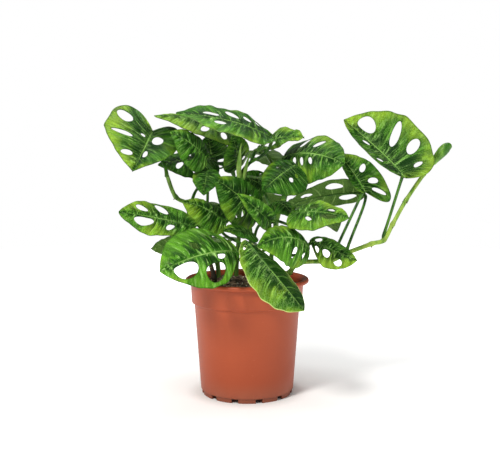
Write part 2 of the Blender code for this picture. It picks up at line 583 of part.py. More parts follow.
for ring in range(6):
    low = 1 + ring * SOIL_SEGMENTS
    high = low + SOIL_SEGMENTS
    for i in range(SOIL_SEGMENTS):
        j = (i + 1) % SOIL_SEGMENTS
        faces.append((low + i, high + i, high + j))
        faces.append((low + i, high + j, low + j))
last = 1 + 6 * SOIL_SEGMENTS
faces.append([last + i for i in range(SOIL_SEGMENTS)])
soil = mesh_object("soil", verts, faces, soilMat)
outward(soil)
holes = []
for spots in VINES.values():
    low = SOIL_TOP_Z - SOIL_HOLE_DEPTH
    holes.append(rod("stem_hole", spots[0][0], spots[0][1], low, SOIL_TOP_Z + 12.0, STEM_RADIUS + 0.5, 10))
boolean(soil, holes, "DIFFERENCE")
smooth(soil, 40)
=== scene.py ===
# Monstera adansonii in a plastic nursery pot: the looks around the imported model.
import random
from math import copysign, cos, exp, hypot, pi, radians, sin, sqrt, tan, tau
import bpy
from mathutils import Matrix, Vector, noise


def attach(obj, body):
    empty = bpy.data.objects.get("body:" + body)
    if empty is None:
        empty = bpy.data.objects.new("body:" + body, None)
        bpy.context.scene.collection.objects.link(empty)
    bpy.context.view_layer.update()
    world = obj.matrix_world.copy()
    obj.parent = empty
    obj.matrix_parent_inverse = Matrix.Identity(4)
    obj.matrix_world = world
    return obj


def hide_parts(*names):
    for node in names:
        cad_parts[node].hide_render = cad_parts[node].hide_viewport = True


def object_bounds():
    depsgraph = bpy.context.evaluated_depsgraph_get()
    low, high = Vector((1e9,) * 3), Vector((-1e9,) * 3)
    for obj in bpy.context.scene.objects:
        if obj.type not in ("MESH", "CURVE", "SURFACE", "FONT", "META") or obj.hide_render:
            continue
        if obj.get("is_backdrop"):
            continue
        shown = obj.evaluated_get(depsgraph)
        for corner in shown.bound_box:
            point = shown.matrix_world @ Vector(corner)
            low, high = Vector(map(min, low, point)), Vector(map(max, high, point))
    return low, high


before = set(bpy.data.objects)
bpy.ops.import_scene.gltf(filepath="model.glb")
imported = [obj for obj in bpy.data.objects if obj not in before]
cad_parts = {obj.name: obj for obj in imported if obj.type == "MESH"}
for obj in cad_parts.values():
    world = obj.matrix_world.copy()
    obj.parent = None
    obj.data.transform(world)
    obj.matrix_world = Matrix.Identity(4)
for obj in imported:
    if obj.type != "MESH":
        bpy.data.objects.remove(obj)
solidBox = [list(corner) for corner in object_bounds()]
print("stage: frame loaded,", len(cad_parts), "nodes")

mm = 0.001  # sizes below are millimetres unless a note says otherwise

# camera and studio: places and sizes in metres, turns in degrees

photoView = {"place": (0.0036, -1.0232, 0.3042), "pitchDown": 6.24, "lens": 60.47, "sensor": 36.0}
studio = {
    "floorSize": 3.2,
    "floorColour": (0.93, 0.93, 0.92, 1.0),
    "floorGlow": (0.20, 1.0),   # beside the pot, then far away
    "glowReach": (0.10, 0.75),
    "potShade": (0.056, 0.080),  # no glow under the pot
    "skyColour": (1.0, 1.0, 1.0, 1.0),
    "skyStrength": 0.25,    # what lights the plant
    "backdropStrength": 1.0,
    # place, aim, size in metres, watts, colour
    "keyLight": ((-0.75, -1.05, 1.25), (0.0, 0.0, 0.2), 0.42, 24.0, (1.0, 0.985, 0.95)),
    "fillLight": ((1.3, -0.9, 0.6), (0.0, 0.0, 0.15), 0.9, 6.0, (0.97, 0.99, 1.0)),
    "topLight": ((0.1, 0.3, 1.5), (0.0, 0.0, 0.25), 0.8, 9.0, (1.0, 1.0, 1.0)),
}

bpy.ops.object.camera_add(location=photoView["place"],
                          rotation=(radians(90.0 - photoView["pitchDown"]), 0.0, 0.0))
camera = bpy.context.object
camera.name = "photoCamera"
camera.data.sensor_width = photoView["sensor"]
camera.data.lens = photoView["lens"]
camera.data.clip_start = 0.05
camera.data.clip_end = 60.0
bpy.context.scene.camera = camera
bpy.context.scene.view_settings.view_transform = "Standard"

world = bpy.data.worlds.new("studioSky")
world.use_nodes = True
sky = world.node_tree.nodes["Background"]
backdrop = world.node_tree.nodes.new("ShaderNodeBackground")
for background, strength in ((sky, studio["skyStrength"]), (backdrop, studio["backdropStrength"])):
    background.inputs["Color"].default_value = studio["skyColour"]
    background.inputs["Strength"].default_value = strength
rays = world.node_tree.nodes.new("ShaderNodeLightPath")
pick = world.node_tree.nodes.new("ShaderNodeMixShader")
ending = world.node_tree.nodes["World Output"]
for source, target in ((rays.outputs["Is Camera Ray"], pick.inputs[0]), (sky.outputs[0], pick.inputs[1]),
                       (backdrop.outputs[0], pick.inputs[2]), (pick.outputs[0], ending.inputs["Surface"])):
    world.node_tree.links.new(source, target)
bpy.context.scene.world = world

for lightName in ("keyLight", "fillLight", "topLight"):
    place, aim, size, watts, colour = studio[lightName]
    turn = (Vector(aim) - Vector(place)).to_track_quat("-Z", "Y").to_euler()
    bpy.ops.object.light_add(type="AREA", location=place, rotation=turn)
    lamp = bpy.context.object
    lamp.name = lightName
    lamp.data.shape = "DISK"
    lamp.data.size = size
    lamp.data.energy = watts
    lamp.data.color = colour


# shader maths: a wire is one output socket, and sums on wires add Math nodes

class Wire:
    def __init__(self, look, socket):
        self.look = look
        self.socket = socket

    def __add__(self, other):
        return self.look.maths("ADD", self, other)

    __radd__ = __add__

    def __sub__(self, other):
        return self.look.maths("SUBTRACT", self, other)

    def __rsub__(self, other):
        return self.look.maths("SUBTRACT", other, self)

    def __mul__(self, other):
        return self.look.maths("MULTIPLY", self, other)

    __rmul__ = __mul__

    def __pow__(self, other):
        return self.look.maths("POWER", self, other)


class Look:
    def __init__(self, name):
        self.material = bpy.data.materials.new(name)
        self.material.use_nodes = True
        self.tree = self.material.node_tree
        self.shader = self.tree.nodes["Principled BSDF"]

    # any node: its type, its settings, then the values or wires of its sockets
    def add(self, kind, settings=None, sockets=None, outs=(0,)):
        made = self.tree.nodes.new("ShaderNode" + kind)
        for key, value in (settings or {}).items():
            setattr(made, key, value)
        for key, value in (sockets or {}).items():
            self.feed(made.inputs[key], value)
        wires = [Wire(self, made.outputs[out]) for out in outs]
        return wires[0] if len(wires) == 1 else wires

    def feed(self, socket, value):
        if isinstance(value, Wire):
            self.tree.links.new(value.socket, socket)
        else:
            socket.default_value = value

    def set(self, socketName, value):
        self.feed(self.shader.inputs[socketName], value)

    def maths(self, operation, first, second=0.0):
        return self.add("Math", {"operation": operation}, {0: first, 1: second})

    # 0 below low, 1 above high, smooth between
    def ease(self, value, low, high):
        return self.add("MapRange", {"interpolation_type": "SMOOTHSTEP"},
                        {"Value": value, "From Min": low, "From Max": high})

    def most(self, first, second):
        return self.maths("MAXIMUM", first, second)

    def blend(self, factor, first, second):
        return self.add("Mix", {"data_type": "RGBA"}, {0: factor, 6: first, 7: second}, (2,))

    # colours laid over each other, each through its own mask
    def paint(self, colour, layers):
        for mask, tint in layers:
            colour = self.blend(mask, colour, tint)
        self.set("Base Color", colour)

    def split(self, value, outs=(0, 1, 2)):
        return self.add("SeparateXYZ", {}, {0: value}, outs)

    def noise(self, place, scale, detail=2.0, rough=0.5, twist=0.0):
        return self.add("TexNoise", {}, {"Vector": place, "Scale": scale, "Detail": detail,
                                         "Roughness": rough, "Distortion": twist})

    def place(self, stretch=(1.0, 1.0, 1.0)):
        here = self.add("TexCoord", outs=("Object",))
        return self.add("Mapping", {}, {"Vector": here, "Scale": stretch})

    def own(self, name, out="Vector"):
        return self.add("Attribute", {"attribute_name": name}, outs=(out,))

    def bump(self, height, distance, strength):
        bumped = self.add("Bump", {}, {"Height": height, "Distance": distance, "Strength": strength})
        self.set("Normal", bumped)


def shade(r, g, b):
    return (r, g, b, 1.0)


# helpers for pieces

def only(obj):
    bpy.ops.object.select_all(action="DESELECT")
    obj.select_set(True)
    bpy.context.view_layer.objects.active = obj


def addObject(name, data):
    obj = bpy.data.objects.new(name, data)
    bpy.context.scene.collection.objects.link(obj)
    only(obj)
    return obj


def modify(obj, kind, **settings):
    only(obj)
    change = obj.modifiers.new("change", kind)
    for key, value in settings.items():
        setattr(change, key, value)
    bpy.ops.object.modifier_apply(modifier="change")


def finishPiece(obj, name, slot, nodes=(), looks=()):
    obj.name = name
    obj.data.name = name
    for look in looks:
        obj.data.materials.append(look)
    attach(obj, "root")
    if nodes:
        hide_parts(*nodes)


def smoothCurve(points, steps):
    count = len(points)
    out = []
    for i in range(count - 1):
        a = points[max(0, i - 1)]
        b = points[i]
        c = points[i + 1]
        d = points[min(count - 1, i + 2)]
        for k in range(steps):
            s = k / steps
            out.append((b * 2.0 + (c - a) * s + (a * 2.0 - b * 5.0 + c * 4.0 - d) * s * s
                        + (b * 3.0 - a - c * 3.0 + d) * s * s * s) * 0.5)
    out.append(points[-1])
    return out


def between(value, low, high):
    s = min(1.0, max(0.0, (value - low) / (high - low)))
    return s * s * (3.0 - 2.0 * s)


# floor

floorLook = Look("paleFloor")
floorTone = floorLook.noise(floorLook.place(), 1.5)
floorLook.paint(studio["floorColour"], [(floorTone * 0.2, shade(0.96, 0.96, 0.96))])
floorLook.set("Roughness", 0.9)
floorX, floorY = floorLook.split(floorLook.place(), (0, 1))
floorReach = (floorX * floorX + floorY * floorY) ** 0.5
floorFar = floorLook.ease(floorReach, *studio["glowReach"])
nearGlow, farGlow = [shade(glow, glow, glow) for glow in studio["floorGlow"]]
floorGlow = floorLook.blend(floorFar, nearGlow, farGlow)
underPot = 1.0 - floorLook.ease(floorReach, *studio["potShade"])
floorLook.set("Emission Color", floorLook.blend(underPot, floorGlow, shade(0.0, 0.0, 0.0)))
floorLook.set("Emission Strength", 1.0)
bpy.ops.mesh.primitive_circle_add(vertices=96, radius=studio["floorSize"] / 2.0, fill_type="NGON")
floor = bpy.context.object
floor.name = "paleFloor"
floor.data.materials.append(floorLook.material)
floor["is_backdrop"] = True
print("stage: camera, lights and floor")

# pot: a thin moulded shell with a rolled lip, a wide collar and a skirt cut into foot blocks

pot = {
    "height": 143.0,
    "rim": 76.0,
    "collarTop": 69.4,
    "collarFoot": 68.2,
    "collarFootZ": 113.0,
    "bodyTop": 65.0,
    "bodyFoot": 57.4,
    "skirt": 5.6,
    "wall": 2.0,
    "centreFoot": 22.0,
    "floorLift": 2.2,
    "notches": 12,
    "notchSize": (9.0, 8.4, 7.0),
    "drains": 6,
    "drainRadius": 4.2,
    "drainRing": 38.0,
    "edgeRound": 0.3,
    "sides": 120,
    "clay": shade(0.365, 0.065, 0.019),
    "clayDark": shade(0.29, 0.047, 0.014),
    "clayWorn": shade(0.5, 0.13, 0.06),
    "dust": shade(0.3, 0.13, 0.08),
    # painted shade for the foot blocks, laid on below
    "footShade": shade(0.06, 0.018, 0.01),
    "roughness": 0.42,
}

potLook = Look("terracottaPlastic")
potPlace = potLook.place()
potCloud = potLook.noise(potPlace, 9.0, 3.0)
potStreak = potLook.noise(potLook.place((6.0, 6.0, 140.0)), 4.0, 2.0)
potSpeck = potLook.noise(potPlace, 420.0, 2.0)
potScuff = potLook.ease(potLook.noise(potLook.place((30.0, 30.0, 90.0)), 3.0, 5.0, 0.7), 0.62, 0.74)
potHeight = potLook.split(potPlace, ("Z",))
potDust = (1.0 - potLook.ease(potHeight, 0.0, 0.03)) * potLook.ease(potCloud, 0.35, 0.6)
# painted shade: darker around the skirt and foot blocks at the bottom, where the notches sit in shade
# under the pot
potGrime = 1.0 - potLook.ease(potHeight, 0.0046, 0.0078)
potLook.paint(pot["clay"], [
    (potLook.ease(potCloud, 0.3, 0.7) * 0.45, pot["clayDark"]),
    (potStreak * 0.22, pot["clayDark"]),
    (potScuff * 0.28, pot["clayWorn"]),
    (potDust * 0.4, pot["dust"]),
    (potGrime * 0.35, pot["footShade"]),
])
potLook.set("Roughness", pot["roughness"] + potScuff * 0.18 + potSpeck * 0.08)
potLook.set("Specular IOR Level", 0.3)
potLook.bump(potSpeck * 0.5 + potStreak * 0.4 + potScuff * 0.3, 0.00022, 0.5)


# lathe by hand: a ring is extruded, lifted and scaled from one profile point to the next
def extrudeRings(profile):
    for (radius, z), (nextRadius, nextZ) in zip(profile, profile[1:]):
        bpy.ops.mesh.extrude_region_move(TRANSFORM_OT_translate={"value": (0.0, 0.0, (nextZ - z) * mm)})
        grow = nextRadius / radius
        bpy.ops.transform.resize(value=(grow, grow, 1.0), center_override=(0.0, 0.0, nextZ * mm))


def turnProfile(profile, sides):
    radius, z = profile[0]
    bpy.ops.mesh.primitive_circle_add(vertices=sides, radius=radius * mm, fill_type="NOTHING",
                                      location=(0.0, 0.0, z * mm))
    made = bpy.context.object
    bpy.ops.object.transform_apply(location=True)
    bpy.ops.object.mode_set(mode="EDIT")
    bpy.ops.mesh.select_all(action="SELECT")
    extrudeRings(profile)
    return made


def selectOpenEnds():
    bpy.ops.mesh.select_all(action="DESELECT")
    bpy.ops.mesh.select_non_manifold()


def closeShell():
    bpy.ops.mesh.edge_face_add()
    bpy.ops.mesh.select_all(action="SELECT")
    bpy.ops.mesh.normals_make_consistent(inside=False)
    bpy.ops.object.mode_set(mode="OBJECT")


hub, foot, body, collar = pot["centreFoot"], pot["bodyFoot"], pot["bodyTop"], pot["collarFoot"]
neck, rim, wall = pot["collarTop"], pot["rim"], pot["wall"]
skirt, ledge, high = pot["skirt"], pot["collarFootZ"], pot["height"]
floorZ = skirt + pot["floorLift"]
potProfile = [
    (2.0, skirt - 0.2), (hub - 3.0, skirt - 0.2), (hub - 3.0, 0.4), (hub - 2.6, 0.0),
    (hub - 0.5, 0.0), (hub, 0.5), (hub, skirt - 0.2), (foot - 4.4, skirt - 0.2),
    (foot - 4.4, 0.4), (foot - 4.0, 0.0), (foot - 1.9, 0.0), (foot - 1.5, 0.4),
    (foot - 1.2, skirt - 0.6), (foot - 0.4, skirt - 0.2), (foot, skirt + 0.6), (foot + 2.4, 40.0),
    (foot + 4.9, 76.0), (body - 0.2, ledge - 3.4), (body, ledge - 0.9), (body + 0.5, ledge - 0.2),
    (collar - 0.6, ledge + 0.4), (collar - 0.1, ledge + 0.9), (collar, ledge + 1.6),
    (neck - 0.5, 128.0), (neck, high - 6.2), (neck + 0.9, high - 5.3), (rim - 1.4, high - 5.1),
    (rim - 0.5, high - 4.6), (rim, high - 3.6), (rim - 0.1, high - 2.2), (rim - 0.6, high - 0.9),
    (rim - 1.5, high - 0.2), (rim - 2.6, high), (rim - 4.2, high - 0.3), (rim - 5.4, high - 1.2),
    (neck - wall + 0.4, high - 3.6), (neck - wall, high - 5.4), (collar - wall, ledge + 1.0),
    (body - wall, ledge - 3.0), (foot - wall, floorZ + 0.8), (foot - wall - 0.8, floorZ),
    (2.0, floorZ),
]
potPiece = turnProfile(potProfile, pot["sides"])
bpy.ops.mesh.select_all(action="SELECT")
bpy.ops.mesh.remove_doubles(threshold=0.00001)
selectOpenEnds()
closeShell()


def ringSpot(radius, angle, z):
    return (radius * cos(angle) * mm, radius * sin(angle) * mm, z * mm)


cutters = []
for i in range(pot["notches"]):
    angle = tau * (i + 0.5) / pot["notches"]
    bpy.ops.mesh.primitive_cube_add(size=1.0, scale=[side * mm for side in pot["notchSize"]],
                                    rotation=(0.0, 0.0, angle),
                                    location=ringSpot(foot - 3.0, angle, 1.6))
    cutters.append(bpy.context.object)
for i in range(pot["drains"]):
    angle = tau * (i + 0.25) / pot["drains"]
    bpy.ops.mesh.primitive_cylinder_add(vertices=24, radius=pot["drainRadius"] * mm, depth=10.0 * mm,
                                        location=ringSpot(pot["drainRing"], angle, 7.0))
    cutters.append(bpy.context.object)
cutterGroup = bpy.data.collections.new("cutters")
for cutter in cutters:
    cutterGroup.objects.link(cutter)
modify(potPiece, "BOOLEAN", operand_type="COLLECTION", collection=cutterGroup, solver="EXACT")
for cutter in cutters:
    bpy.data.objects.remove(cutter, do_unlink=True)
bpy.data.collections.remove(cutterGroup)
modify(potPiece, "BEVEL", width=pot["edgeRound"] * mm, segments=2, limit_method="ANGLE",
       angle_limit=radians(60.0))
bpy.ops.object.shade_smooth_by_angle(angle=radians(38.0))
finishPiece(potPiece, "potShell", "terracotta_plastic", ["pot"], [potLook.material])
print("stage: pot,", len(potPiece.data.polygons), "faces")

# soil: a lumpy top with bark, fibre and pale grit

soil = {
    "top": 134.5,
    "lump": 2.2,
    "mound": 6.5,     # the middle stands a little higher, as if just watered in
    "edge": 64.6,
    "foot": 55.0,
    "sides": 96,
    "rings": 30,
    "dark": shade(0.01, 0.006, 0.004),
    "brown": shade(0.3, 0.185, 0.11),
    "dry": shade(0.54, 0.41, 0.28),
    "barkDark": shade(0.06, 0.03, 0.018),
    "barkPale": shade(0.45, 0.31, 0.21),
    "gritPale": shade(0.82, 0.77, 0.66),
    "gritDark": shade(0.45, 0.38, 0.28),
    "barkBits": 420,
    "gritBits": 170,
    "fibres": 70,
    "seed": 11,
}

soilLook = Look("pottingSoil")
soilPlace = soilLook.place()
soilClump = soilLook.noise(soilPlace, 160.0, 6.0, 0.65)
soilPatch = soilLook.noise(soilPlace, 45.0, 2.0)
soilCell = soilLook.add("TexVoronoi", {}, {"Vector": soilPlace, "Scale": 330.0})
soilLook.paint(soil["dark"], [
    (soilLook.ease(soilClump, 0.38, 0.66), soil["brown"]),
    (soilLook.ease(soilPatch, 0.55, 0.72) * 0.6, soil["dry"]),
])
soilLook.set("Roughness", 0.92)
soilLook.bump(soilClump + soilCell * 0.6, 0.0016, 0.9)

barkLook = Look("barkBits")
barkGrain = barkLook.noise(barkLook.place((90.0, 400.0, 400.0)), 1.0, 4.0)
barkPatch = barkLook.noise(barkLook.place(), 90.0, 1.0)
barkLook.paint(soil["barkDark"], [
    (barkLook.ease(barkPatch, 0.35, 0.65), soil["barkPale"]),
    (barkGrain * 0.5, shade(0.02, 0.012, 0.008)),
])
barkLook.set("Roughness", 0.85)
barkLook.bump(barkGrain, 0.0004, 0.8)

gritLook = Look("paleGrit")
gritGrain = gritLook.noise(gritLook.place(), 500.0, 3.0)
gritLook.paint(soil["gritPale"], [(gritLook.ease(gritGrain, 0.3, 0.75), soil["gritDark"])])
gritLook.set("Roughness", 0.8)
gritLook.bump(gritGrain, 0.0003, 0.7)


def soilHeight(x, y):
    spot = Vector((x * 0.06, y * 0.06, 3.1))
    rough = Vector((x * 0.22, y * 0.22, 7.7))
    reach = hypot(x, y) / soil["edge"]
    lift = noise.noise(spot) * soil["lump"] * 1.6 + noise.noise(rough) * soil["lump"] * 0.55
    mound = soil["mound"] * exp(-((x + 22.0) ** 2 + (y - 6.0) ** 2) / 1500.0) * (1.0 - reach ** 8)
    return soil["top"] + lift * (1.0 - 0.6 * reach ** 6) + 0.6 - 1.2 * reach ** 4 + mound


soilProfile = [(soil["edge"], soil["top"])]
for k in range(1, soil["rings"]):
    soilProfile.append((soil["edge"] * (1.0 - k / soil["rings"]), soil["top"]))
soilPiece = turnProfile(soilProfile, soil["sides"])
bpy.ops.mesh.merge(type="CENTER")
selectOpenEnds()
extrudeRings([(soil["edge"], soil["top"]), (soil["edge"] - 0.4, soil["top"] - 10.0),
              (soil["foot"], floorZ + 0.4)])
closeShell()
for vert in soilPiece.data.vertices:
    if vert.co.z > (soil["top"] - 1.0) * mm:
        vert.co.z = soilHeight(vert.co.x / mm, vert.co.y / mm) * mm
only(soilPiece)
bpy.ops.object.shade_smooth()
finishPiece(soilPiece, "soilPlug", "potting_soil", ["soil"], [soilLook.material])


# many copies of one small shape, each turned, sized and dented on its own
def scatterBits(name, count, sizes, stretch, sink, look, seed):
    draw = random.Random(seed)
    bpy.ops.mesh.primitive_ico_sphere_add(subdivisions=1, radius=1.0, location=(0.0, 0.0, 0.0))
    pattern = bpy.context.object
    shape = [vert.co.copy() for vert in pattern.data.vertices]
    loops = [tuple(face.vertices) for face in pattern.data.polygons]
    bpy.data.objects.remove(pattern, do_unlink=True)
    verts = []
    faces = []
    for k in range(count):
        reach = soil["edge"] * sqrt(draw.random()) * 0.97
        turn = draw.uniform(0.0, tau)
        x, y = reach * cos(turn), reach * sin(turn)
        size = draw.uniform(*sizes)
        aim = Vector((draw.gauss(0.0, 1.0), draw.gauss(0.0, 1.0), draw.gauss(0.0, 0.35))).normalized()
        swing = Vector((1.0, 0.0, 0.0)).rotation_difference(aim).to_matrix()
        long = draw.uniform(*stretch)
        middle = Vector((x, y, soilHeight(x, y) + size * sink))
        start = len(verts)
        for spot in shape:
            dent = draw.uniform(0.72, 1.15)
            local = swing @ Vector((spot.x * long, spot.y * 0.8, spot.z * 0.6))
            verts.append((middle + local * size * dent) * mm)
        faces += [tuple(start + i for i in loop) for loop in loops]
    mesh = bpy.data.meshes.new(name)
    mesh.from_pydata(verts, [], faces)
    finishPiece(addObject(name, mesh), name, "potting_soil", looks=[look])


# name, count, sizes, how long a bit is for its size, how high it lies, finish
seed = soil["seed"]
for bitName, count, sizes, stretch, sink, look in (
        ("barkBits", soil["barkBits"], (0.8, 2.5), (1.0, 2.4), 0.25, barkLook),
        ("paleGrit", soil["gritBits"], (0.5, 1.3), (0.9, 1.4), 0.35, gritLook),
        ("fibreBits", soil["fibres"], (0.28, 0.42), (9.0, 18.0), 1.2, barkLook)):
    scatterBits(bitName, count, sizes, stretch, sink, look.material, seed)
    seed += 1
print("stage: soil")

# leaf looks: leafPlace holds the share along, the signed share across and the vein number,
# leafFlat the flat blade in metres, leafTone how light, how yellow and how pale at the edge;
# how light is partly each leaf's own tone and partly painted shade on leaves deep in the plant
# and painted light on leaves that face the lamps

greens = {
    "deep": shade(0.003, 0.03, 0.001),
    "mid": shade(0.022, 0.125, 0.003),
    "bright": shade(0.11, 0.33, 0.014),
    "yellow": shade(0.29, 0.48, 0.025),
    "vein": shade(0.17, 0.39, 0.06),
    "midrib": shade(0.27, 0.51, 0.105),
    # pale threads: the fine veinlets, and painted highlights along the side veins
    "thread": shade(0.43, 0.7, 0.21),
    "edge": shade(0.48, 0.6, 0.18),
    "outline": shade(0.008, 0.042, 0.003),
    "rim": shade(0.02, 0.08, 0.008),
    "underDeep": shade(0.02, 0.068, 0.007),
    "under": shade(0.07, 0.16, 0.022),
    "underLight": shade(0.15, 0.29, 0.05),
    "underVein": shade(0.23, 0.38, 0.1),
    "underRib": shade(0.3, 0.45, 0.14),
    "roughness": 0.31,
    "underRoughness": 0.55,
}


def leafLook(name, under):
    look = Look(name)
    along, across, vein = look.split(look.own("leafPlace"))
    # light: partly the leaf's own tone, partly painted shade on leaves deep in the plant and painted light
    # on leaves that face the lamps
    light, yellow, pale = look.split(look.own("leafTone"))
    flat = look.own("leafFlat")
    border = look.own("leafRim", "Fac")
    reach = look.maths("ABSOLUTE", across)
    # the vein number counts side veins: a whole number lies on one
    phase = look.maths("FRACT", vein + 0.5)
    fromVein = look.maths("ABSOLUTE", phase - 0.5)
    sideVein = (1.0 - look.ease(fromVein, 0.015, 0.075)) * look.ease(reach, 0.0, 0.06)
    sideVein = sideVein * (1.0 - look.ease(reach, 0.5, 0.95) * 0.85)
    midrib = 1.0 - look.ease(reach + along * 0.012, 0.018, 0.040)
    net = look.add("TexVoronoi", {"feature": "DISTANCE_TO_EDGE"}, {"Vector": flat, "Scale": 420.0})
    netLine = 1.0 - look.ease(net, 0.02, 0.16)
    cloud = look.noise(flat, 62.0, 3.0, 0.6)
    puff = look.maths("SINE", fromVein * pi)
    # streaks run beside the side veins and break up towards the edge; their dark and bright bands are
    # partly the leaf's own mottle and partly painted shade and painted light of the quilted skin
    half = light * 31.0 + look.maths("SIGN", across) * 7.0
    flow = look.add("CombineXYZ", {}, {0: vein * 2.3, 1: reach, 2: half})
    streak = look.noise(flow, 1.0, 4.0, 0.62, 0.5)
    if under:
        colour = look.blend(look.ease(cloud, 0.3, 0.7), greens["underDeep"], greens["under"])
        look.paint(colour, [
            ((1.0 - look.ease(streak, 0.35, 0.5)) * 0.5, greens["underDeep"]),
            (light * 0.45, greens["underLight"]),
            (netLine * 0.2, greens["underVein"]),
            (sideVein * 0.7, greens["underVein"]),
            (midrib, greens["underRib"]),
        ])
        look.set("Roughness", greens["underRoughness"])
        look.bump(sideVein * 0.9 + netLine * 0.3 + puff * 0.8, 0.0005, 0.7)
    else:
        thread = look.noise(flow, 2.3, 3.0, 0.6, 0.5)
        fine = look.noise(flat, 260.0, 3.0, 0.6)
        patch = look.noise(flat, 26.0, 1.0)
        # dark beside the midrib, lighter and mottled towards the edge
        inner = 1.0 - look.ease(reach + along * 0.25, 0.40, 1.05) * 0.62
        lift = light + look.ease(reach, 0.05, 0.7) * 0.42 + (cloud - 0.5) * 0.8
        lift = lift + (thread - 0.5) * inner * 1.3 - 0.24
        gold = patch * 0.8 + cloud * 0.4 + reach * 0.25 + yellow * 0.45
        # painted shade, partly the leaf's own dark mottle: dark streaks, a dark line on one side of each
        # vein as if cast by its ridge, dark threads
        beside = look.ease(phase, 0.53, 0.60) * (1.0 - look.ease(phase, 0.62, 0.82)) * 0.7
        shadow = look.most(1.0 - look.ease(streak, 0.42, 0.54), beside)
        shadow = look.most(shadow, (1.0 - look.ease(thread, 0.40, 0.48)) * 0.85)
        outline = look.ease(border, 0.45, 0.9)
        paleEdge = look.most(look.ease(reach, 0.955, 0.985), outline)
        look.paint(greens["deep"], [
            (look.ease(lift, -0.15, 0.50), greens["mid"]),
            (look.ease(lift, 0.40, 1.10), greens["bright"]),
            (look.ease(gold, 0.84, 1.14) * 0.85, greens["yellow"]),
            # bright streaks: partly painted light on the quilted ridges, stronger on lighter leaves
            (look.ease(streak, 0.52, 0.68) * (0.25 + light * 0.5), greens["bright"]),
            (netLine * (0.05 + yellow * 0.30), greens["thread"]),
            # light threads are painted highlights, thin glints along the side veins
            (look.ease(thread, 0.56, 0.64) * inner * (0.24 + light * 0.7), greens["thread"]),
            (sideVein * 0.6, greens["vein"]),
            (midrib * 0.9, greens["midrib"]),
            (shadow * inner * look.ease(reach, 0.02, 0.15) * 0.94, greens["deep"]),
            (outline * (1.0 - pale) * 0.85, greens["outline"]),
            (paleEdge * look.ease(pale, 0.5, 1.0), greens["edge"]),
        ])
        look.set("Roughness", greens["roughness"] + (fine - 0.5) * 0.22 + sideVein * 0.05)
        relief = puff + streak * 1.6 + thread * 0.7 + fine * 0.3
        look.bump(relief - midrib * 0.8 - sideVein * 0.35 - netLine * 0.12, 0.0012, 0.85)
    look.set("Specular IOR Level", 0.07)
    return look.material


leafTop = leafLook("leafTop", False)
leafUnder = leafLook("leafUnder", True)

edgeLook = Look("leafEdge")
edgePale = edgeLook.ease(edgeLook.split(edgeLook.own("leafTone"), (2,)), 0.5, 1.0)
edgeGrain = edgeLook.noise(edgeLook.own("leafFlat"), 240.0)
edgeLook.paint(greens["outline"], [(edgeGrain, greens["rim"]), (edgePale, greens["edge"])])
edgeLook.set("Roughness", 0.55)
edgeLook.set("Specular IOR Level", 0.08)

# leaves: a pair is for the left and the right half, seen on the upper face with the tip ahead;
# a hole has its shares along the blade from and to, then its shares across the half

leaves = []


def leaf(name, vine, node, base, tip, face, droop, widths, fold=(0, 0), curl=(-20, -20),
         lobes=(0.1, 0.1), sway=0.0, wave=0.6, full=(0.0, 0.0), holes=((), ()), tone=(0.35, 0.2, 0.3),
         dim=(0.0, 0.0), ruffle=0.35, slot="leaf_green", rise=30.0, leave=(0, 0, 1), via=None):
    leaves.append(dict(locals()))


deep = "leaf_deep_green"
fresh = "leaf_fresh_green"

leaf("far_left", "left", 5, (-115, 5, 322), (-131, -60, 275), (0.62, -0.6, 0.5), 20, (37, 55),
     (40, 0), (-30, -20), (0.4, 0.5), wave=0.9, full=(-0.2, 0.12), tone=(0.28, 0.38, 0.35),
     dim=(0.2, 0.0),
     holes=([(0.33, 0.5, 0.12, 0.48), (0.66, 0.77, 0.08, 0.38)],
            [(0.28, 0.4, 0.54, 0.92), (0.5, 0.57, 0.36, 0.86), (0.76, 0.82, 0.35, 0.85),
             (0.38, 0.44, 0.1, 0.22)]))
leaf("top", "mid", 4, (33, -5, 313), (-83, -30, 342), (0.05, -0.5, 0.85), 30, (34, 36), (8, 0),
     (-18, -10), (0.0, -0.1), wave=1.4, full=(0.1, 0.1), tone=(0.38, 0.14, 0.6), dim=(-0.1, 0.1),
     ruffle=0.6,
     holes=([(0.62, 0.7, 0.3, 0.6)],
            [(0.24, 0.31, 0.4, 0.65), (0.37, 0.44, 0.35, 0.65), (0.5, 0.59, 0.3, 0.75),
             (0.68, 0.8, 0.2, 0.5)]))
leaf("under_top", "back", 3, (-14, 45, 318), (-112, 0, 340), (0.0, -0.42, 0.9), 35, (32, 29),
     (-12, -10), tone=(0.4, 0.5, 0.3),
     holes=([(0.3, 0.38, 0.35, 0.75), (0.5, 0.57, 0.35, 0.75)], [(0.4, 0.48, 0.35, 0.75)]))
leaf("crest", "crown", 3, (17, 46, 304), (70, 14, 314), (0, -0.6, 0.8), 45, (27, 21), (5, 10),
     (-20, -30), wave=2.0, tone=(0.5, 0.35, 0.5),
     holes=([], [(0.35, 0.55, 0.3, 0.75)]))
leaf("shoulder", "crown", 3, (45, 42, 289), (118, -8, 282), (0.1, -0.62, 0.78), 55, (43, 38),
     (12, -30), (-25, -35), (0.0, 0.1), wave=1.4, full=(0.1, 0.4), tone=(0.35, 0.25, 0.3),
     holes=([(0.36, 0.43, 0.3, 0.85), (0.56, 0.62, 0.3, 0.75)],
            [(0.36, 0.42, 0.15, 0.45), (0.48, 0.53, 0.15, 0.45), (0.6, 0.65, 0.15, 0.4)]))
leaf("inner_right", "mid", 4, (58, -22, 282), (18, -46, 252), (0.1, -0.75, 0.6), 35, (33, 25),
     (-5, -10), (-25, -25), slot=deep, tone=(0.04, 0.05, 0.2), via=(34, -4, 264),
     holes=([(0.3, 0.38, 0.3, 0.5), (0.45, 0.53, 0.3, 0.5)], [(0.4, 0.48, 0.3, 0.6)]))
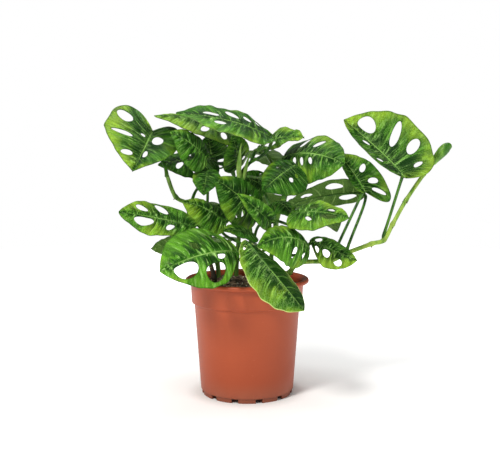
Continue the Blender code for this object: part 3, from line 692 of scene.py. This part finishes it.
leaf("right_lobe", "right", 3, (146, 10, 247), (112, 18, 296), (0.2, -0.95, 0.1), 35, (12, 33),
     (-45, 0), (-20, -25), (0.0, 0.72), wave=1.0, full=(0.0, -0.25), tone=(0.3, 0.2, 0.2),
     rise=12.0, leave=(0.5, 0.1, 1),
     holes=([], [(0.2, 0.27, 0.35, 0.85), (0.33, 0.4, 0.3, 0.72), (0.5, 0.59, 0.3, 0.75)]))
leaf("right_under", "right", 4, (149, 36, 245), (48, 24, 229), (0.1, 0.8, 0.5), 25, (24, 17),
     curl=(-10, -10), lobes=(0.02, 0.02), sway=-2.0, rise=10.0,
     holes=([(0.4, 0.57, 0.35, 0.75), (0.72, 0.82, 0.3, 0.7)], [(0.23, 0.45, 0.12, 0.6)]))
leaf("right_mid", "crown", 2, (53, -30, 225), (119, -56, 221), (0.1, -0.62, 0.75), 35, (24, 32),
     (0, 5), slot=fresh, wave=1.4, tone=(0.62, 0.35, 0.4), via=(62, -12, 206),
     holes=([(0.17, 0.25, 0.2, 0.85), (0.43, 0.54, 0.2, 0.62), (0.7, 0.79, 0.2, 0.62)],
            [(0.65, 0.84, 0.12, 0.6), (0.44, 0.54, 0.3, 0.55)]))
leaf("right_low", "right", 2, (76, -12, 190), (131, -34, 168.5), (0.1, -0.8, 0.55), 5, (14, 25),
     curl=(-10, -10), lobes=(0.0, -0.15), full=(0.05, 0.45), tone=(0.45, 0.3, 0.4),
     holes=([(0.2, 0.34, 0.2, 0.75)],
            [(0.26, 0.38, 0.2, 0.6), (0.46, 0.6, 0.12, 0.52), (0.66, 0.78, 0.4, 0.86)]))
leaf("far_right", "right", 6, (188, -25, 266), (112, -45, 334), (-0.15, -0.95, 0.1), 20, (25, 52),
     (-56, 0), (-20, -15), (-0.1, 0.35), sway=2.0, wave=1.2, full=(0.2, 0.1),
     tone=(0.29, 0.46, 0.35), dim=(0.15, 0.0), ruffle=0.6, via=(174, -8, 222),
     holes=([(0.68, 0.74, 0.2, 0.5), (0.42, 0.48, 0.4, 0.7)],
            [(0.73, 0.88, 0.22, 0.84), (0.5, 0.58, 0.25, 0.85), (0.34, 0.42, 0.42, 0.82),
             (0.2, 0.25, 0.45, 0.7)]))
leaf("left_mid", "left", 2, (-60, -42, 209), (-146, -68, 229), (0.1, -0.62, 0.78), 14, (26, 27),
     (0, 5), lobes=(-0.1, 0.1), full=(0.5, 0.45), slot=fresh, wave=1.4, tone=(0.46, 0.32, 0.4),
     via=(-54, -8, 203),
     holes=([(0.66, 0.84, 0.15, 0.75), (0.42, 0.51, 0.25, 0.65)],
            [(0.49, 0.6, 0.3, 0.88), (0.71, 0.8, 0.3, 0.8)]))
leaf("left_under", "left", 1, (-56, -26, 191), (-114, -36, 183), (0.2, 0.7, 0.6), 20, (19, 25),
     curl=(-15, -15), tone=(0.3, 0.2, 0.3), leave=(-0.3, -1, 0.3),
     holes=([(0.5, 0.64, 0.2, 0.7)], []))
leaf("front_left", "front", 2, (-9, -58, 182), (-95, -112, 167), (0, -0.68, 0.72), 48, (44, 48),
     (0, 8), (-25, -30), (-0.15, -0.05), slot=fresh, wave=1.0, full=(0.35, 0.15),
     tone=(0.68, 0.14, 0.4),
     holes=([(0.7, 0.89, 0.15, 0.85), (0.43, 0.63, 0.34, 0.88), (0.38, 0.5, 0.08, 0.26)],
            [(0.58, 0.66, 0.2, 0.5), (0.3, 0.4, 0.3, 0.6)]))
leaf("front", "front", 2, (-1, -80, 198), (63, -119, 125), (-0.25, -0.85, 0.45), 35, (31, 30),
     (-56, -5), (-20, -25), (-0.1, 0.05), wave=1.6, full=(0.6, 0.45), tone=(0.17, 0.52, 1.0),
     dim=(0.4, 0.0), ruffle=1.1,
     holes=([], [(0.14, 0.2, 0.3, 0.65)]))
leaf("round", "front", 2, (74, -40, 183), (12, -58, 188), (-0.1, -0.6, 0.8), 110, (37, 33),
     (-20, 5), (-50, -40), slot=fresh, tone=(0.62, 0.2, 0.5), ruffle=0.6,
     holes=([(0.25, 0.31, 0.3, 0.7), (0.45, 0.51, 0.3, 0.7)], []))
leaf("pointed", "mid", 1, (29, -28, 212), (-11, -64, 250), (-0.3, -0.8, 0.5), 30, (15, 12),
     (20, 20), (-10, -10), tone=(0.5, 0.25, 0.4))
leaf("middle", "mid", 2, (14, -12, 222), (-38, -45, 267), (-0.2, -0.75, 0.5), 30, (33, 25),
     tone=(0.12, 0.05, 0.2),
     holes=([(0.4, 0.5, 0.3, 0.7)], [(0.4, 0.48, 0.3, 0.7)]))
leaf("drop", "left", 2, (-48, 2, 275), (-51, -33, 246), (0, -0.7, 0.6), 40, (17, 17), slot=deep,
     tone=(0.25, 0.15, 0.2))
leaf("left_shade", "left", 3, (-41, 56, 286), (-112, 34, 280), (-0.1, -0.55, 0.8), 30, (36, 26),
     (-5, 0), slot=deep, tone=(0.1, 0.05, 0.2),
     holes=([(0.68, 0.76, 0.2, 0.7), (0.45, 0.55, 0.3, 0.8)],
            [(0.3, 0.38, 0.3, 0.8), (0.5, 0.58, 0.3, 0.8)]))
leaf("back_fan", "back", 3, (-46, 94, 276), (-50, 68, 318), (0, -0.7, 0.6), 20, (28, 26),
     lobes=(0.3, 0.3), slot=deep, tone=(0.05, 0.05, 0.2), via=(-36, 98, 250),
     holes=([(0.12, 0.2, 0.35, 0.85), (0.3, 0.38, 0.3, 0.8)],
            [(0.12, 0.2, 0.35, 0.85), (0.3, 0.38, 0.3, 0.8)]))
leaf("inner_top", "mid", 3, (-11, 25, 277), (-18, 0, 316), (0.2, -0.75, 0.6), 30, (23, 25),
     holes=([], [(0.3, 0.4, 0.3, 0.8)]))
leaf("left_inner", "mid", 3, (-48, 4, 288), (-91, -18, 321), (0.2, -0.7, 0.7), 35, (29, 23),
     (-10, 0), tone=(0.4, 0.2, 0.3), via=(-30, 14, 262),
     holes=([(0.45, 0.53, 0.3, 0.8)], []))
leaf("left_fold", "mid", 1, (-25, -4, 210), (-79, -4, 237), (-0.1, -0.5, 0.85), 50, (31, 23),
     curl=(-40, -30), slot=fresh, tone=(0.5, 0.3, 0.4))
leaf("shadow", "front", 2, (9, -38, 199), (-28, -60, 207), (-0.1, -0.5, 0.85), 40, (18, 17),
     curl=(-15, -15), slot=deep, tone=(0.1, 0.05, 0.2))
leaf("arch", "crown", 1, (27, 2, 232), (54, -14, 218), (0.2, -0.35, 0.9), 125, (17, 19), (0, -30),
     (-20, -30), slot=deep, tone=(0.2, 0.1, 0.3),
     holes=([], [(0.4, 0.5, 0.3, 0.7)]))
leaf("rear_left", "back", 2, (-36, 78, 228), (-72, 116, 196), (-0.3, 0.5, 0.8), 40, (34, 34),
     (5, 5), lobes=(0.2, 0.2), wave=1.0, tone=(0.4, 0.3, 0.3),
     holes=([(0.3, 0.4, 0.3, 0.8), (0.55, 0.64, 0.3, 0.8)],
            [(0.22, 0.3, 0.35, 0.8), (0.45, 0.55, 0.3, 0.8)]))
leaf("rear", "back", 2, (8, 88, 262), (38, 135, 205), (0.1, 0.6, 0.75), 50, (36, 36), (5, 5),
     lobes=(0.2, 0.2), wave=1.0, tone=(0.4, 0.35, 0.3),
     holes=([(0.25, 0.34, 0.3, 0.8), (0.5, 0.6, 0.3, 0.8)],
            [(0.3, 0.38, 0.35, 0.8), (0.56, 0.64, 0.3, 0.8)]))
leaf("rear_right", "crown", 2, (72, 62, 235), (120, 92, 190), (0.4, 0.5, 0.75), 45, (33, 33),
     (5, 5), lobes=(0.2, 0.2), slot=fresh, wave=1.0, tone=(0.6, 0.4, 0.4),
     holes=([(0.3, 0.4, 0.3, 0.8)], [(0.25, 0.34, 0.3, 0.8), (0.5, 0.6, 0.3, 0.8)]))
leaf("rear_low", "back", 1, (-30, 70, 185), (-62, 118, 160), (-0.2, 0.4, 0.85), 40, (28, 28),
     (5, 5), lobes=(0.2, 0.2), slot=deep, tone=(0.25, 0.15, 0.3),
     holes=([(0.35, 0.45, 0.3, 0.8)], [(0.45, 0.55, 0.3, 0.8)]))
leaf("rear_top", "back", 3, (8, 78, 298), (50, 110, 272), (0.2, 0.4, 0.9), 35, (27, 27), (5, 5),
     lobes=(0.15, 0.15), slot=fresh, tone=(0.6, 0.4, 0.4),
     holes=([(0.4, 0.5, 0.3, 0.8)], [(0.3, 0.4, 0.3, 0.8)]))
leaf("core", "crown", 2, (24, 34, 252), (-8, 28, 268), (-0.1, -0.85, 0.4), 30, (19, 17), slot=deep,
     tone=(0.1, 0.05, 0.2), rise=8.0,
     holes=([], [(0.4, 0.5, 0.3, 0.8)]))

blade = {
    "rows": 88,        # faces from base to tip
    "columns": 30,     # faces from edge to edge
    "thickness": 0.6,
    "groove": 0.45,    # depth of the midrib groove
    "grooveWidth": 1.6,
    "quilt": 0.65,     # how far the skin rises between side veins
    "sideVeins": (7.0, 10.0),
    "unrest": 0.7,     # slow unevenness of the whole blade
    "scallop": 0.030,  # how far the outline swings, as a share of the width
    "scallops": 15.0,  # half swings of the outline, the short ruffles and the long waves
    "frills": 19.0,
    "waves": 6.0,
    "yield": 1.9,      # within this many times a hole's size the vertices give way to it
}


def frameOf(spec):
    base = Vector(spec["base"])
    chord = Vector(spec["tip"]) - base
    along = chord.normalized()
    up = Vector(spec["face"])
    up = (up - along * up.dot(along)).normalized()
    side = along.cross(up)
    half = radians(spec["droop"]) / 2.0
    length = chord.length * half / sin(half)
    return base, along, up, side, length


# one half laid flat: an egg with a short point, and a round lobe at its base;
# full moves its widest place towards the tip
def flatPoint(spec, index, length, t, q):
    turn = pi * t
    full = spec["full"][index]
    egg = 0.30 - full
    wide = sin(turn) * (1.0 + egg * cos(turn)) / (1.0 + 0.5 * egg * egg)
    wide *= 1.0 - max(0.0, 0.25 - 0.5 * full) * max(0.0, (t - 0.72) / 0.28) ** 1.5
    edge = 0.92 * (1.0 - cos(turn)) / 2.0 + 0.08 * t ** 5
    if t < 0.5:
        edge -= spec["lobes"][index] * sin(tau * t) * (1.0 - t)
    start = length * t ** 1.5
    return spec["widths"][index] * wide * q, start + (length * edge - start) * q ** 1.5


# the half of a signed share or length: 0 is left, 1 is right
def halfOf(signed):
    return 1 if signed >= 0.0 else 0


# the flat blade bent into its place: u across, v along, lift above the sheet
def bentPoint(spec, shape, u, v, lift):
    base, along, up, side, length = shape
    index = halfOf(u)
    hand = 2 * index - 1
    droop = radians(spec["droop"])
    x = min(1.0, max(0.0, v / length))
    extra = v - x * length
    slope = droop / 2.0 - droop * x
    run = length / droop * (sin(droop / 2.0) - sin(slope))
    rise = length / droop * (cos(slope) - cos(droop / 2.0))
    tangent = along * cos(slope) + up * sin(slope)
    normal = up * cos(slope) - along * sin(slope)
    spine = base + along * run + up * rise + tangent * extra
    spine += side * (spec["sway"] * 4.0 * x * (1.0 - x))
    width = spec["widths"][index]
    fold = radians(spec["fold"][index])
    curl = radians(spec["curl"][index])
    angle = fold + curl * abs(u) / width
    across = width / curl * (sin(angle) - sin(fold))
    height = width / curl * (cos(fold) - cos(angle))
    return spine + side * (hand * across) + normal * (height + lift)


# how far a point lies from a hole's middle: 1 is its rim, a drop shape that narrows to the edge
def holeReach(hole, t, q):
    t0, t1, q0, q1 = hole
    dq = (q - (q0 + q1) / 2.0) / ((q1 - q0) / 2.0)
    dt = (t - (t0 + t1) / 2.0 - 0.008 * dq) / ((t1 - t0) / 2.0)
    return sqrt((dt * (1.0 + 0.22 * dq)) ** 2 + dq * dq)


# shares along and across for every vertex of a flat grid, and the faces that a hole takes out
def openHoles(spec, mesh):
    shares = []
    for vert in mesh.vertices:
        y = vert.co.y * 2.0
        shares.append([vert.co.x + 0.5, copysign(abs(y) ** 1.15, y)])
    rims = {}
    doomed = []
    for face in mesh.polygons:
        t, q = [sum(shares[i][k] for i in face.vertices) / len(face.vertices) for k in (0, 1)]
        half = halfOf(q)
        around = [hole for hole in spec["holes"][half] if holeReach(hole, t, abs(q)) < 1.0]
        doomed.append(bool(around))
        if around:
            rims.update((i, (half, around[-1])) for i in face.vertices)
    kept = set()
    for face, gone in zip(mesh.polygons, doomed):
        if not gone:
            kept.update(face.vertices)
    # the corners left beside a hole move on to its rim
    border = {i: rim for i, rim in rims.items() if i in kept}
    for i, (half, hole) in border.items():
        middle = ((hole[0] + hole[1]) / 2.0, (hole[2] + hole[3]) / 2.0)
        t, q = shares[i][0], abs(shares[i][1])
        for step in range(4):
            reach = max(0.2, holeReach(hole, t, q))
            t = middle[0] + (t - middle[0]) / reach
            q = middle[1] + (q - middle[1]) / reach
        shares[i] = [t, (2 * half - 1) * min(1.0, q)]
    # vertices close to a rim give way a little, so the rows stay even
    near = {}
    for edge in mesh.edges:
        a, b = edge.vertices
        near.setdefault(a, []).append(b)
        near.setdefault(b, []).append(a)
    loose = []
    for i in kept:
        t, q = shares[i]
        if i in border or abs(q) > 0.999 or abs(q) < 0.001 or t < 0.001 or t > 0.999:
            continue
        if any(holeReach(hole, t, abs(q)) < blade["yield"] for hole in spec["holes"][halfOf(q)]):
            loose.append(i)
    for step in range(4):
        for i in loose:
            friends = [j for j in near[i] if j in kept]
            shares[i] = [sum(shares[j][k] for j in friends) / len(friends) for k in (0, 1)]
    return shares, doomed, border


def keepData(mesh, name, values, kind="FLOAT_VECTOR", key="vector"):
    mesh.attributes.new(name, kind, "POINT").data.foreach_set(key, values)


def growBlade(spec, seed):
    bpy.ops.mesh.primitive_grid_add(x_subdivisions=blade["rows"], y_subdivisions=blade["columns"],
                                    size=1.0)
    obj = bpy.context.object
    mesh = obj.data
    shares, doomed, border = openHoles(spec, mesh)
    mesh.polygons.foreach_set("select", doomed)
    mesh.edges.foreach_set("select", [False] * len(mesh.edges))
    mesh.vertices.foreach_set("select", [False] * len(mesh.vertices))
    # bend every vertex into place
    shape = frameOf(spec)
    length = shape[4]
    fewest, most = blade["sideVeins"]
    veins = fewest + (most - fewest) * (seed * 2.7 % 1.0)
    light, yellow, pale = spec["tone"]
    placeData, flatData, toneData, rimData = [], [], [], []
    for i, vert in enumerate(mesh.vertices):
        t, signed = shares[i]
        q = abs(signed)
        index = halfOf(signed)
        side = 2 * index - 1
        u, v = flatPoint(spec, index, length, t, q)
        # the outline is scalloped, and the edge lifts in long waves and short ruffles
        scallop = sin(blade["scallops"] * pi * t + seed + 2.0 * side + sin(7.0 * t))
        u *= 1.0 + blade["scallop"] * spec["ruffle"] * scallop * q ** 3
        frill = sin(blade["frills"] * pi * t + seed + sin(9.0 * t))
        ripple = spec["wave"] * sin(blade["waves"] * pi * t + side) * q ** 2.5
        ripple += spec["ruffle"] * frill * q ** 5 * sin(pi * t)
        ends = between(t, 0.0, 0.06) * (1.0 - between(t, 0.93, 1.0))
        vein = t * veins + q * 0.25 + side * 0.17
        vein += 0.45 * noise.noise(Vector((t * 3.2, side * 4.0, seed * 1.9))) * between(t, 0.0, 0.2)
        puff = abs(sin(pi * vein)) ** 0.8
        quilt = blade["quilt"] * (puff - 0.5) * between(q, 0.0, 0.15) * (1.0 - between(q, 0.75, 1.0))
        groove = -blade["groove"] * exp(-(u / blade["grooveWidth"]) ** 2)
        lumps = noise.noise(Vector((u * 0.045, v * 0.045, seed * 3.7)))
        unrest = blade["unrest"] * lumps * between(q, 0.0, 0.4)
        spot = bentPoint(spec, shape, side * u, v, ripple + (quilt + groove + unrest) * ends)
        vert.co = spot * mm
        # the pattern's place is moved by the seed, so no two blades carry the same one
        # a dimmed half is partly its own darker colour and partly painted shade on a half turned from the
        # light
        dim = spec["dim"][index]
        placeData += [t, signed, vein]
        flatData += [side * u * mm + seed * 0.37, v * mm + seed * 0.21, seed * 0.11]
        toneData += [light - dim, yellow - dim * 1.3, pale]
        rimData.append(1.0 if i in border or q > 0.999 else 0.0)
    keepData(mesh, "leafRim", rimData, "FLOAT", "value")
    keepData(mesh, "leafPlace", placeData)
    keepData(mesh, "leafFlat", flatData)
    keepData(mesh, "leafTone", toneData)
    only(obj)
    bpy.ops.object.mode_set(mode="EDIT")
    bpy.ops.mesh.select_mode(type="FACE")
    if any(doomed):
        bpy.ops.mesh.delete(type="FACE")
    bpy.ops.mesh.select_all(action="SELECT")
    bpy.ops.mesh.remove_doubles(threshold=0.00003)
    bpy.ops.mesh.flip_normals()
    bpy.ops.object.mode_set(mode="OBJECT")
    for look in (leafTop, leafUnder, edgeLook.material):
        mesh.materials.append(look)
    modify(obj, "SOLIDIFY", thickness=blade["thickness"] * mm, offset=0.0, material_offset=1,
           material_offset_rim=2)
    bpy.ops.object.shade_smooth_by_angle(angle=radians(60.0))
    pieceName = "".join(word.capitalize() for word in spec["name"].split("_")) + "Blade"
    finishPiece(obj, pieceName, spec["slot"], ["leaf_" + spec["name"]])


for number, spec in enumerate(leaves):
    growBlade(spec, 1.0 + number * 0.61)
print("stage: leaves,", len(leaves))

# stems: a hole in the soil, then the points each stem passes

vines = {
    "right": [(46, -4), (52, -6, 150), (65, -6, 162), (102, -2, 164), (122, 0, 173), (152, -5, 185),
              (167, -5, 190), (177, -6, 209), (193, -4, 238), (215, 0, 270), (228, 0, 287)],
    "left": [(-36, 22), (-38, 22, 160), (-50, 20, 200), (-68, 10, 230), (-87, 2, 242),
             (-97, -2, 268)],
    "back": [(-14, 34), (-13, 36, 160), (-10, 40, 205), (-14, 42, 245)],
    "mid": [(8, 10), (8, 10, 158), (4, 14, 195), (-4, 16, 228), (-8, 14, 262)],
    "crown": [(30, 26), (30, 26, 160), (36, 24, 205), (46, 22, 240)],
    "front": [(12, -26), (12, -26, 150), (16, -24, 168)],
    "stub": [(-38, -38), (-39, -40, 150), (-43, -43, 166)],
}

stem = {
    "radius": 3.1,
    "petiole": 1.8,
    "taper": 0.22,
    "knot": 0.30,     # how much thicker a knot is
    "holeDepth": 26.0,
    "gap": 0.35,
    "leafThickness": 0.7,
    "foldLimit": 44.0,
    "join": 2.6,      # how far along the midrib a petiole meets its blade
    "heel": 5.0,      # its last stretch, square to the blade
    "ribSteps": 14,
    "ribShare": 0.9,  # how much of the blade's length the raised midrib covers
    "green": shade(0.04, 0.135, 0.012),
    "light": shade(0.15, 0.3, 0.04),
    "pale": shade(0.4, 0.47, 0.15),
    "brown": shade(0.075, 0.045, 0.022),
    # two pale young sheaths at the growing tip in the middle: points, then radius
    "sheaths": [([(-8, 13, 257), (-10, 7, 274), (-9, 2, 292), (-7, 0, 307)], 3.0),
                ([(-6, 13, 256), (-3, 9, 270), (0, 6, 283), (4, 4, 297)], 2.2)],
    "rolled": [(221, 0, 279), (232, 0, 292), (241, -1, 302), (247, -3, 304)],
    "rolledWidths": [2.0, 4.2, 5.6, 6.6, 6.2, 4.6, 1.6],
    "rolledSheet": 0.5,
    "rolledTurns": 1.12,
}


def stemLook(name, base, streak, roughness):
    look = Look(name)
    place = look.place()
    long = look.noise(look.place((160.0, 160.0, 25.0)), 1.0, 3.0)
    spots = look.noise(place, 300.0, 2.0)
    patch = look.noise(place, 40.0, 2.0)
    look.paint(base, [
        (look.ease(long, 0.35, 0.65), streak),
        (look.ease(patch, 0.55, 0.75) * 0.35, stem["brown"]),
        (look.ease(spots, 0.66, 0.76) * 0.5, stem["pale"]),
    ])
    look.set("Roughness", roughness + spots * 0.1)
    look.set("Specular IOR Level", 0.22)
    look.bump(long * 0.7 + spots * 0.3, 0.0004, 0.6)
    return look.material


# main stems, the long runner, petioles, pale sheaths, the old stub, root nubs
stemLooks = [
    stemLook("stemGreen", stem["green"], stem["light"], 0.42),
    stemLook("runnerGreen", shade(0.08, 0.205, 0.013), shade(0.3, 0.44, 0.062), 0.38),
    stemLook("petioleGreen", shade(0.012, 0.06, 0.004), shade(0.06, 0.185, 0.014), 0.36),
    stemLook("paleSheath", shade(0.115, 0.28, 0.03), shade(0.29, 0.46, 0.095), 0.45),
    stemLook("oldStem", shade(0.018, 0.014, 0.009), shade(0.06, 0.042, 0.024), 0.75),
    stemLook("rootNub", shade(0.085, 0.055, 0.03), shade(0.17, 0.12, 0.07), 0.75),
]
stemIndex, runnerIndex, petioleIndex, sheathIndex, oldIndex, rootIndex = range(6)


def petiolePath(spec, start):
    shape = frameOf(spec)
    half = radians(spec["droop"]) / 2.0
    tangent = shape[1] * cos(half) + shape[2] * sin(half)
    normal = shape[2] * cos(half) - shape[1] * sin(half)
    # a blade folded downwards pushes its petiole's end away, up to a limit
    fold = min(stem["foldLimit"], max(0.0, -min(spec["fold"])))
    clear = stem["leafThickness"] / 2.0 + stem["gap"] + 0.45 + 1.5 * tan(radians(fold + 4.0))
    end = shape[0] + tangent * stem["join"] - normal * clear
    heading = (normal + tangent * 0.45).normalized()
    before = end - heading * stem["heel"]
    leave = Vector(spec["leave"]).normalized()
    if spec["via"]:
        middle = smoothCurve([start, start + leave * 6.0, Vector(spec["via"]), before], 8)
    else:
        middle = []
        for k in range(25):
            s = k / 24.0
            r = 1.0 - s
            middle.append(start * r ** 3 + (start + leave * spec["rise"]) * 3.0 * r * r * s
                          + (before - heading * spec["rise"]) * 3.0 * r * s * s + before * s ** 3)
    # last stretch: up to the blade, then along under it as the midrib
    blend = [before.lerp(end, 0.5), end]
    rib = []
    for k in range(1, stem["ribSteps"] + 1):
        share = k / stem["ribSteps"]
        v = stem["join"] + (shape[4] * stem["ribShare"] - stem["join"]) * share
        rib.append(bentPoint(spec, shape, 0.0, v, -blade["groove"] - 0.25 - 0.35 * (1.0 - share)))
    return middle, blend, rib


def addTube(curve, points, radii, look):
    strand = curve.splines.new("POLY")
    strand.points.add(len(points) - 1)
    for i, spot in enumerate(points):
        strand.points[i].co = (spot.x * mm, spot.y * mm, spot.z * mm, 1.0)
        strand.points[i].radius = radii[i]
    strand.use_smooth = True
    strand.material_index = look


# radii along a petiole: swollen where it leaves the stem and again under its blade
def petioleSizes(line):
    runs = [0.0]
    for i in range(1, len(line)):
        runs.append(runs[-1] + (line[i] - line[i - 1]).length)
    sizes = []
    for run in runs:
        size = stem["petiole"] * (1.0 + 0.45 * exp(-(run / 9.0) ** 2))
        sizes.append(size * (1.0 + 0.28 * exp(-((runs[-1] - run) / 4.0) ** 2)))
    return sizes


def growVine(name, spots):
    node = "vine_" + name
    hole = spots[0]
    foot = Vector((hole[0], hole[1], soil["top"] - stem["holeDepth"] + 1.0))
    top = Vector((hole[0], hole[1], soil["top"] + 6.0))
    rest = [Vector(p) for p in spots[1:]]
    curve = bpy.data.curves.new(node, "CURVE")
    curve.dimensions = "3D"
    curve.bevel_depth = 1.0 * mm
    curve.bevel_resolution = 3
    curve.use_fill_caps = True
    # a strand's material number only holds once the curve has its materials
    for look in stemLooks:
        curve.materials.append(look)
    path = [foot, top] + smoothCurve([top] + rest, 14)[1:]
    radii = []
    for i, spot in enumerate(path):
        size = stem["radius"] * (1.0 - stem["taper"] * i / len(path))
        for knot in rest[:-1]:
            size *= 1.0 + stem["knot"] * exp(-((spot - knot).length / 2.6) ** 2)
        size *= 1.0 + 0.05 * noise.noise(spot * 0.12)
        radii.append(size)
    addTube(curve, path, radii, {"right": runnerIndex, "stub": oldIndex}.get(name, stemIndex))
    extras = 1 if name == "right" else 0
    draw = random.Random(len(node) * 7 + len(spots))
    for spec in leaves:
        if spec["vine"] != name:
            continue
        start = rest[spec["node"] - 1] + Vector((0.2, 0.3, 1.0)) * (0.7 * extras - 1.5)
        extras += 1
        line, blend, rib = petiolePath(spec, start)
        sizes = petioleSizes(line) + [stem["petiole"] * 1.15, stem["petiole"] * 0.8]
        sizes += [1.22 - k / 15.0 for k in range(1, stem["ribSteps"] + 1)]
        addTube(curve, line + blend + rib, sizes, petioleIndex)
    if name == "mid":
        for line, width in stem["sheaths"]:
            sheath = smoothCurve([Vector(p) for p in line], 6)
            sizes = []
            for i in range(len(sheath)):
                share = i / (len(sheath) - 1)
                swell = between(share, -0.5, 0.3) * (1.0 - between(share, 0.4, 1.05))
                sizes.append(swell * width + 0.25)
            addTube(curve, sheath, sizes, sheathIndex)
    # short root nubs on the older knots
    if name != "stub":
        for knot in rest[:-1]:
            for k in range(draw.randint(1, 3)):
                aim = Vector((draw.uniform(-1.0, 1.0), draw.uniform(-1.0, 1.0),
                              draw.uniform(-1.2, 0.1))).normalized()
                reach = draw.uniform(3.6, 6.5)
                line = [knot + aim * reach * s for s in (0.2, 0.5, 0.8, 1.0)]
                addTube(curve, line, [0.9, 0.8, 0.6, 0.25], rootIndex)
    addObject(node, curve)
    bpy.ops.object.convert(target="MESH")
    obj = bpy.context.object
    bpy.ops.object.shade_smooth_by_angle(angle=radians(60.0))
    finishPiece(obj, name + "Stem", "old_stem" if name == "stub" else "vine_green", [node])


for vineName, spots in vines.items():
    growVine(vineName, spots)
print("stage: stems,", len(vines))

# the young leaf at the end of the right stem, still rolled

budPath = smoothCurve([Vector(p) for p in stem["rolled"]], 6)
budVerts = []
budFaces = []
around = 26
budWidths = stem["rolledWidths"]
first = Vector((0.31, 0.17, 0.93))
for i, spot in enumerate(budPath):
    ahead = (budPath[min(len(budPath) - 1, i + 1)] - budPath[max(0, i - 1)]).normalized()
    first = first.cross(ahead) if i == 0 else first - ahead * first.dot(ahead)
    first.normalize()
    second = ahead.cross(first)
    share = i / (len(budPath) - 1) * (len(budWidths) - 1.0)
    k = min(len(budWidths) - 2, int(share))
    size = budWidths[k] + (budWidths[k + 1] - budWidths[k]) * (share - k)
    for j in range(around):
        turn = tau * stem["rolledTurns"] * j / (around - 1)
        spiral = size * (0.86 + 0.16 * j / (around - 1)) * (1.0 + 0.02 * sin(9.0 * turn))
        budVerts.append((spot + (first * cos(turn) + second * sin(turn)) * spiral) * mm)
for i in range(len(budPath) - 1):
    for j in range(around - 1):
        a = i * around + j
        budFaces.append((a, a + 1, a + around + 1, a + around))
budMesh = bpy.data.meshes.new("rolledLeaf")
budMesh.from_pydata(budVerts, [], budFaces)
bud = addObject("rolledLeaf", budMesh)
modify(bud, "SOLIDIFY", thickness=stem["rolledSheet"] * mm, offset=0.0)
bpy.ops.object.shade_smooth_by_angle(angle=radians(60.0))
budLook = stemLook("rolledLeafGreen", shade(0.03, 0.12, 0.008), shade(0.15, 0.32, 0.035), 0.36)
finishPiece(bud, "rolledLeaf", "leaf_fresh_green", looks=[budLook])
print("stage: rolled leaf")

visualBox = [list(corner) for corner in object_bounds()]
print("stage: done, solids", solidBox, "visual", visualBox)
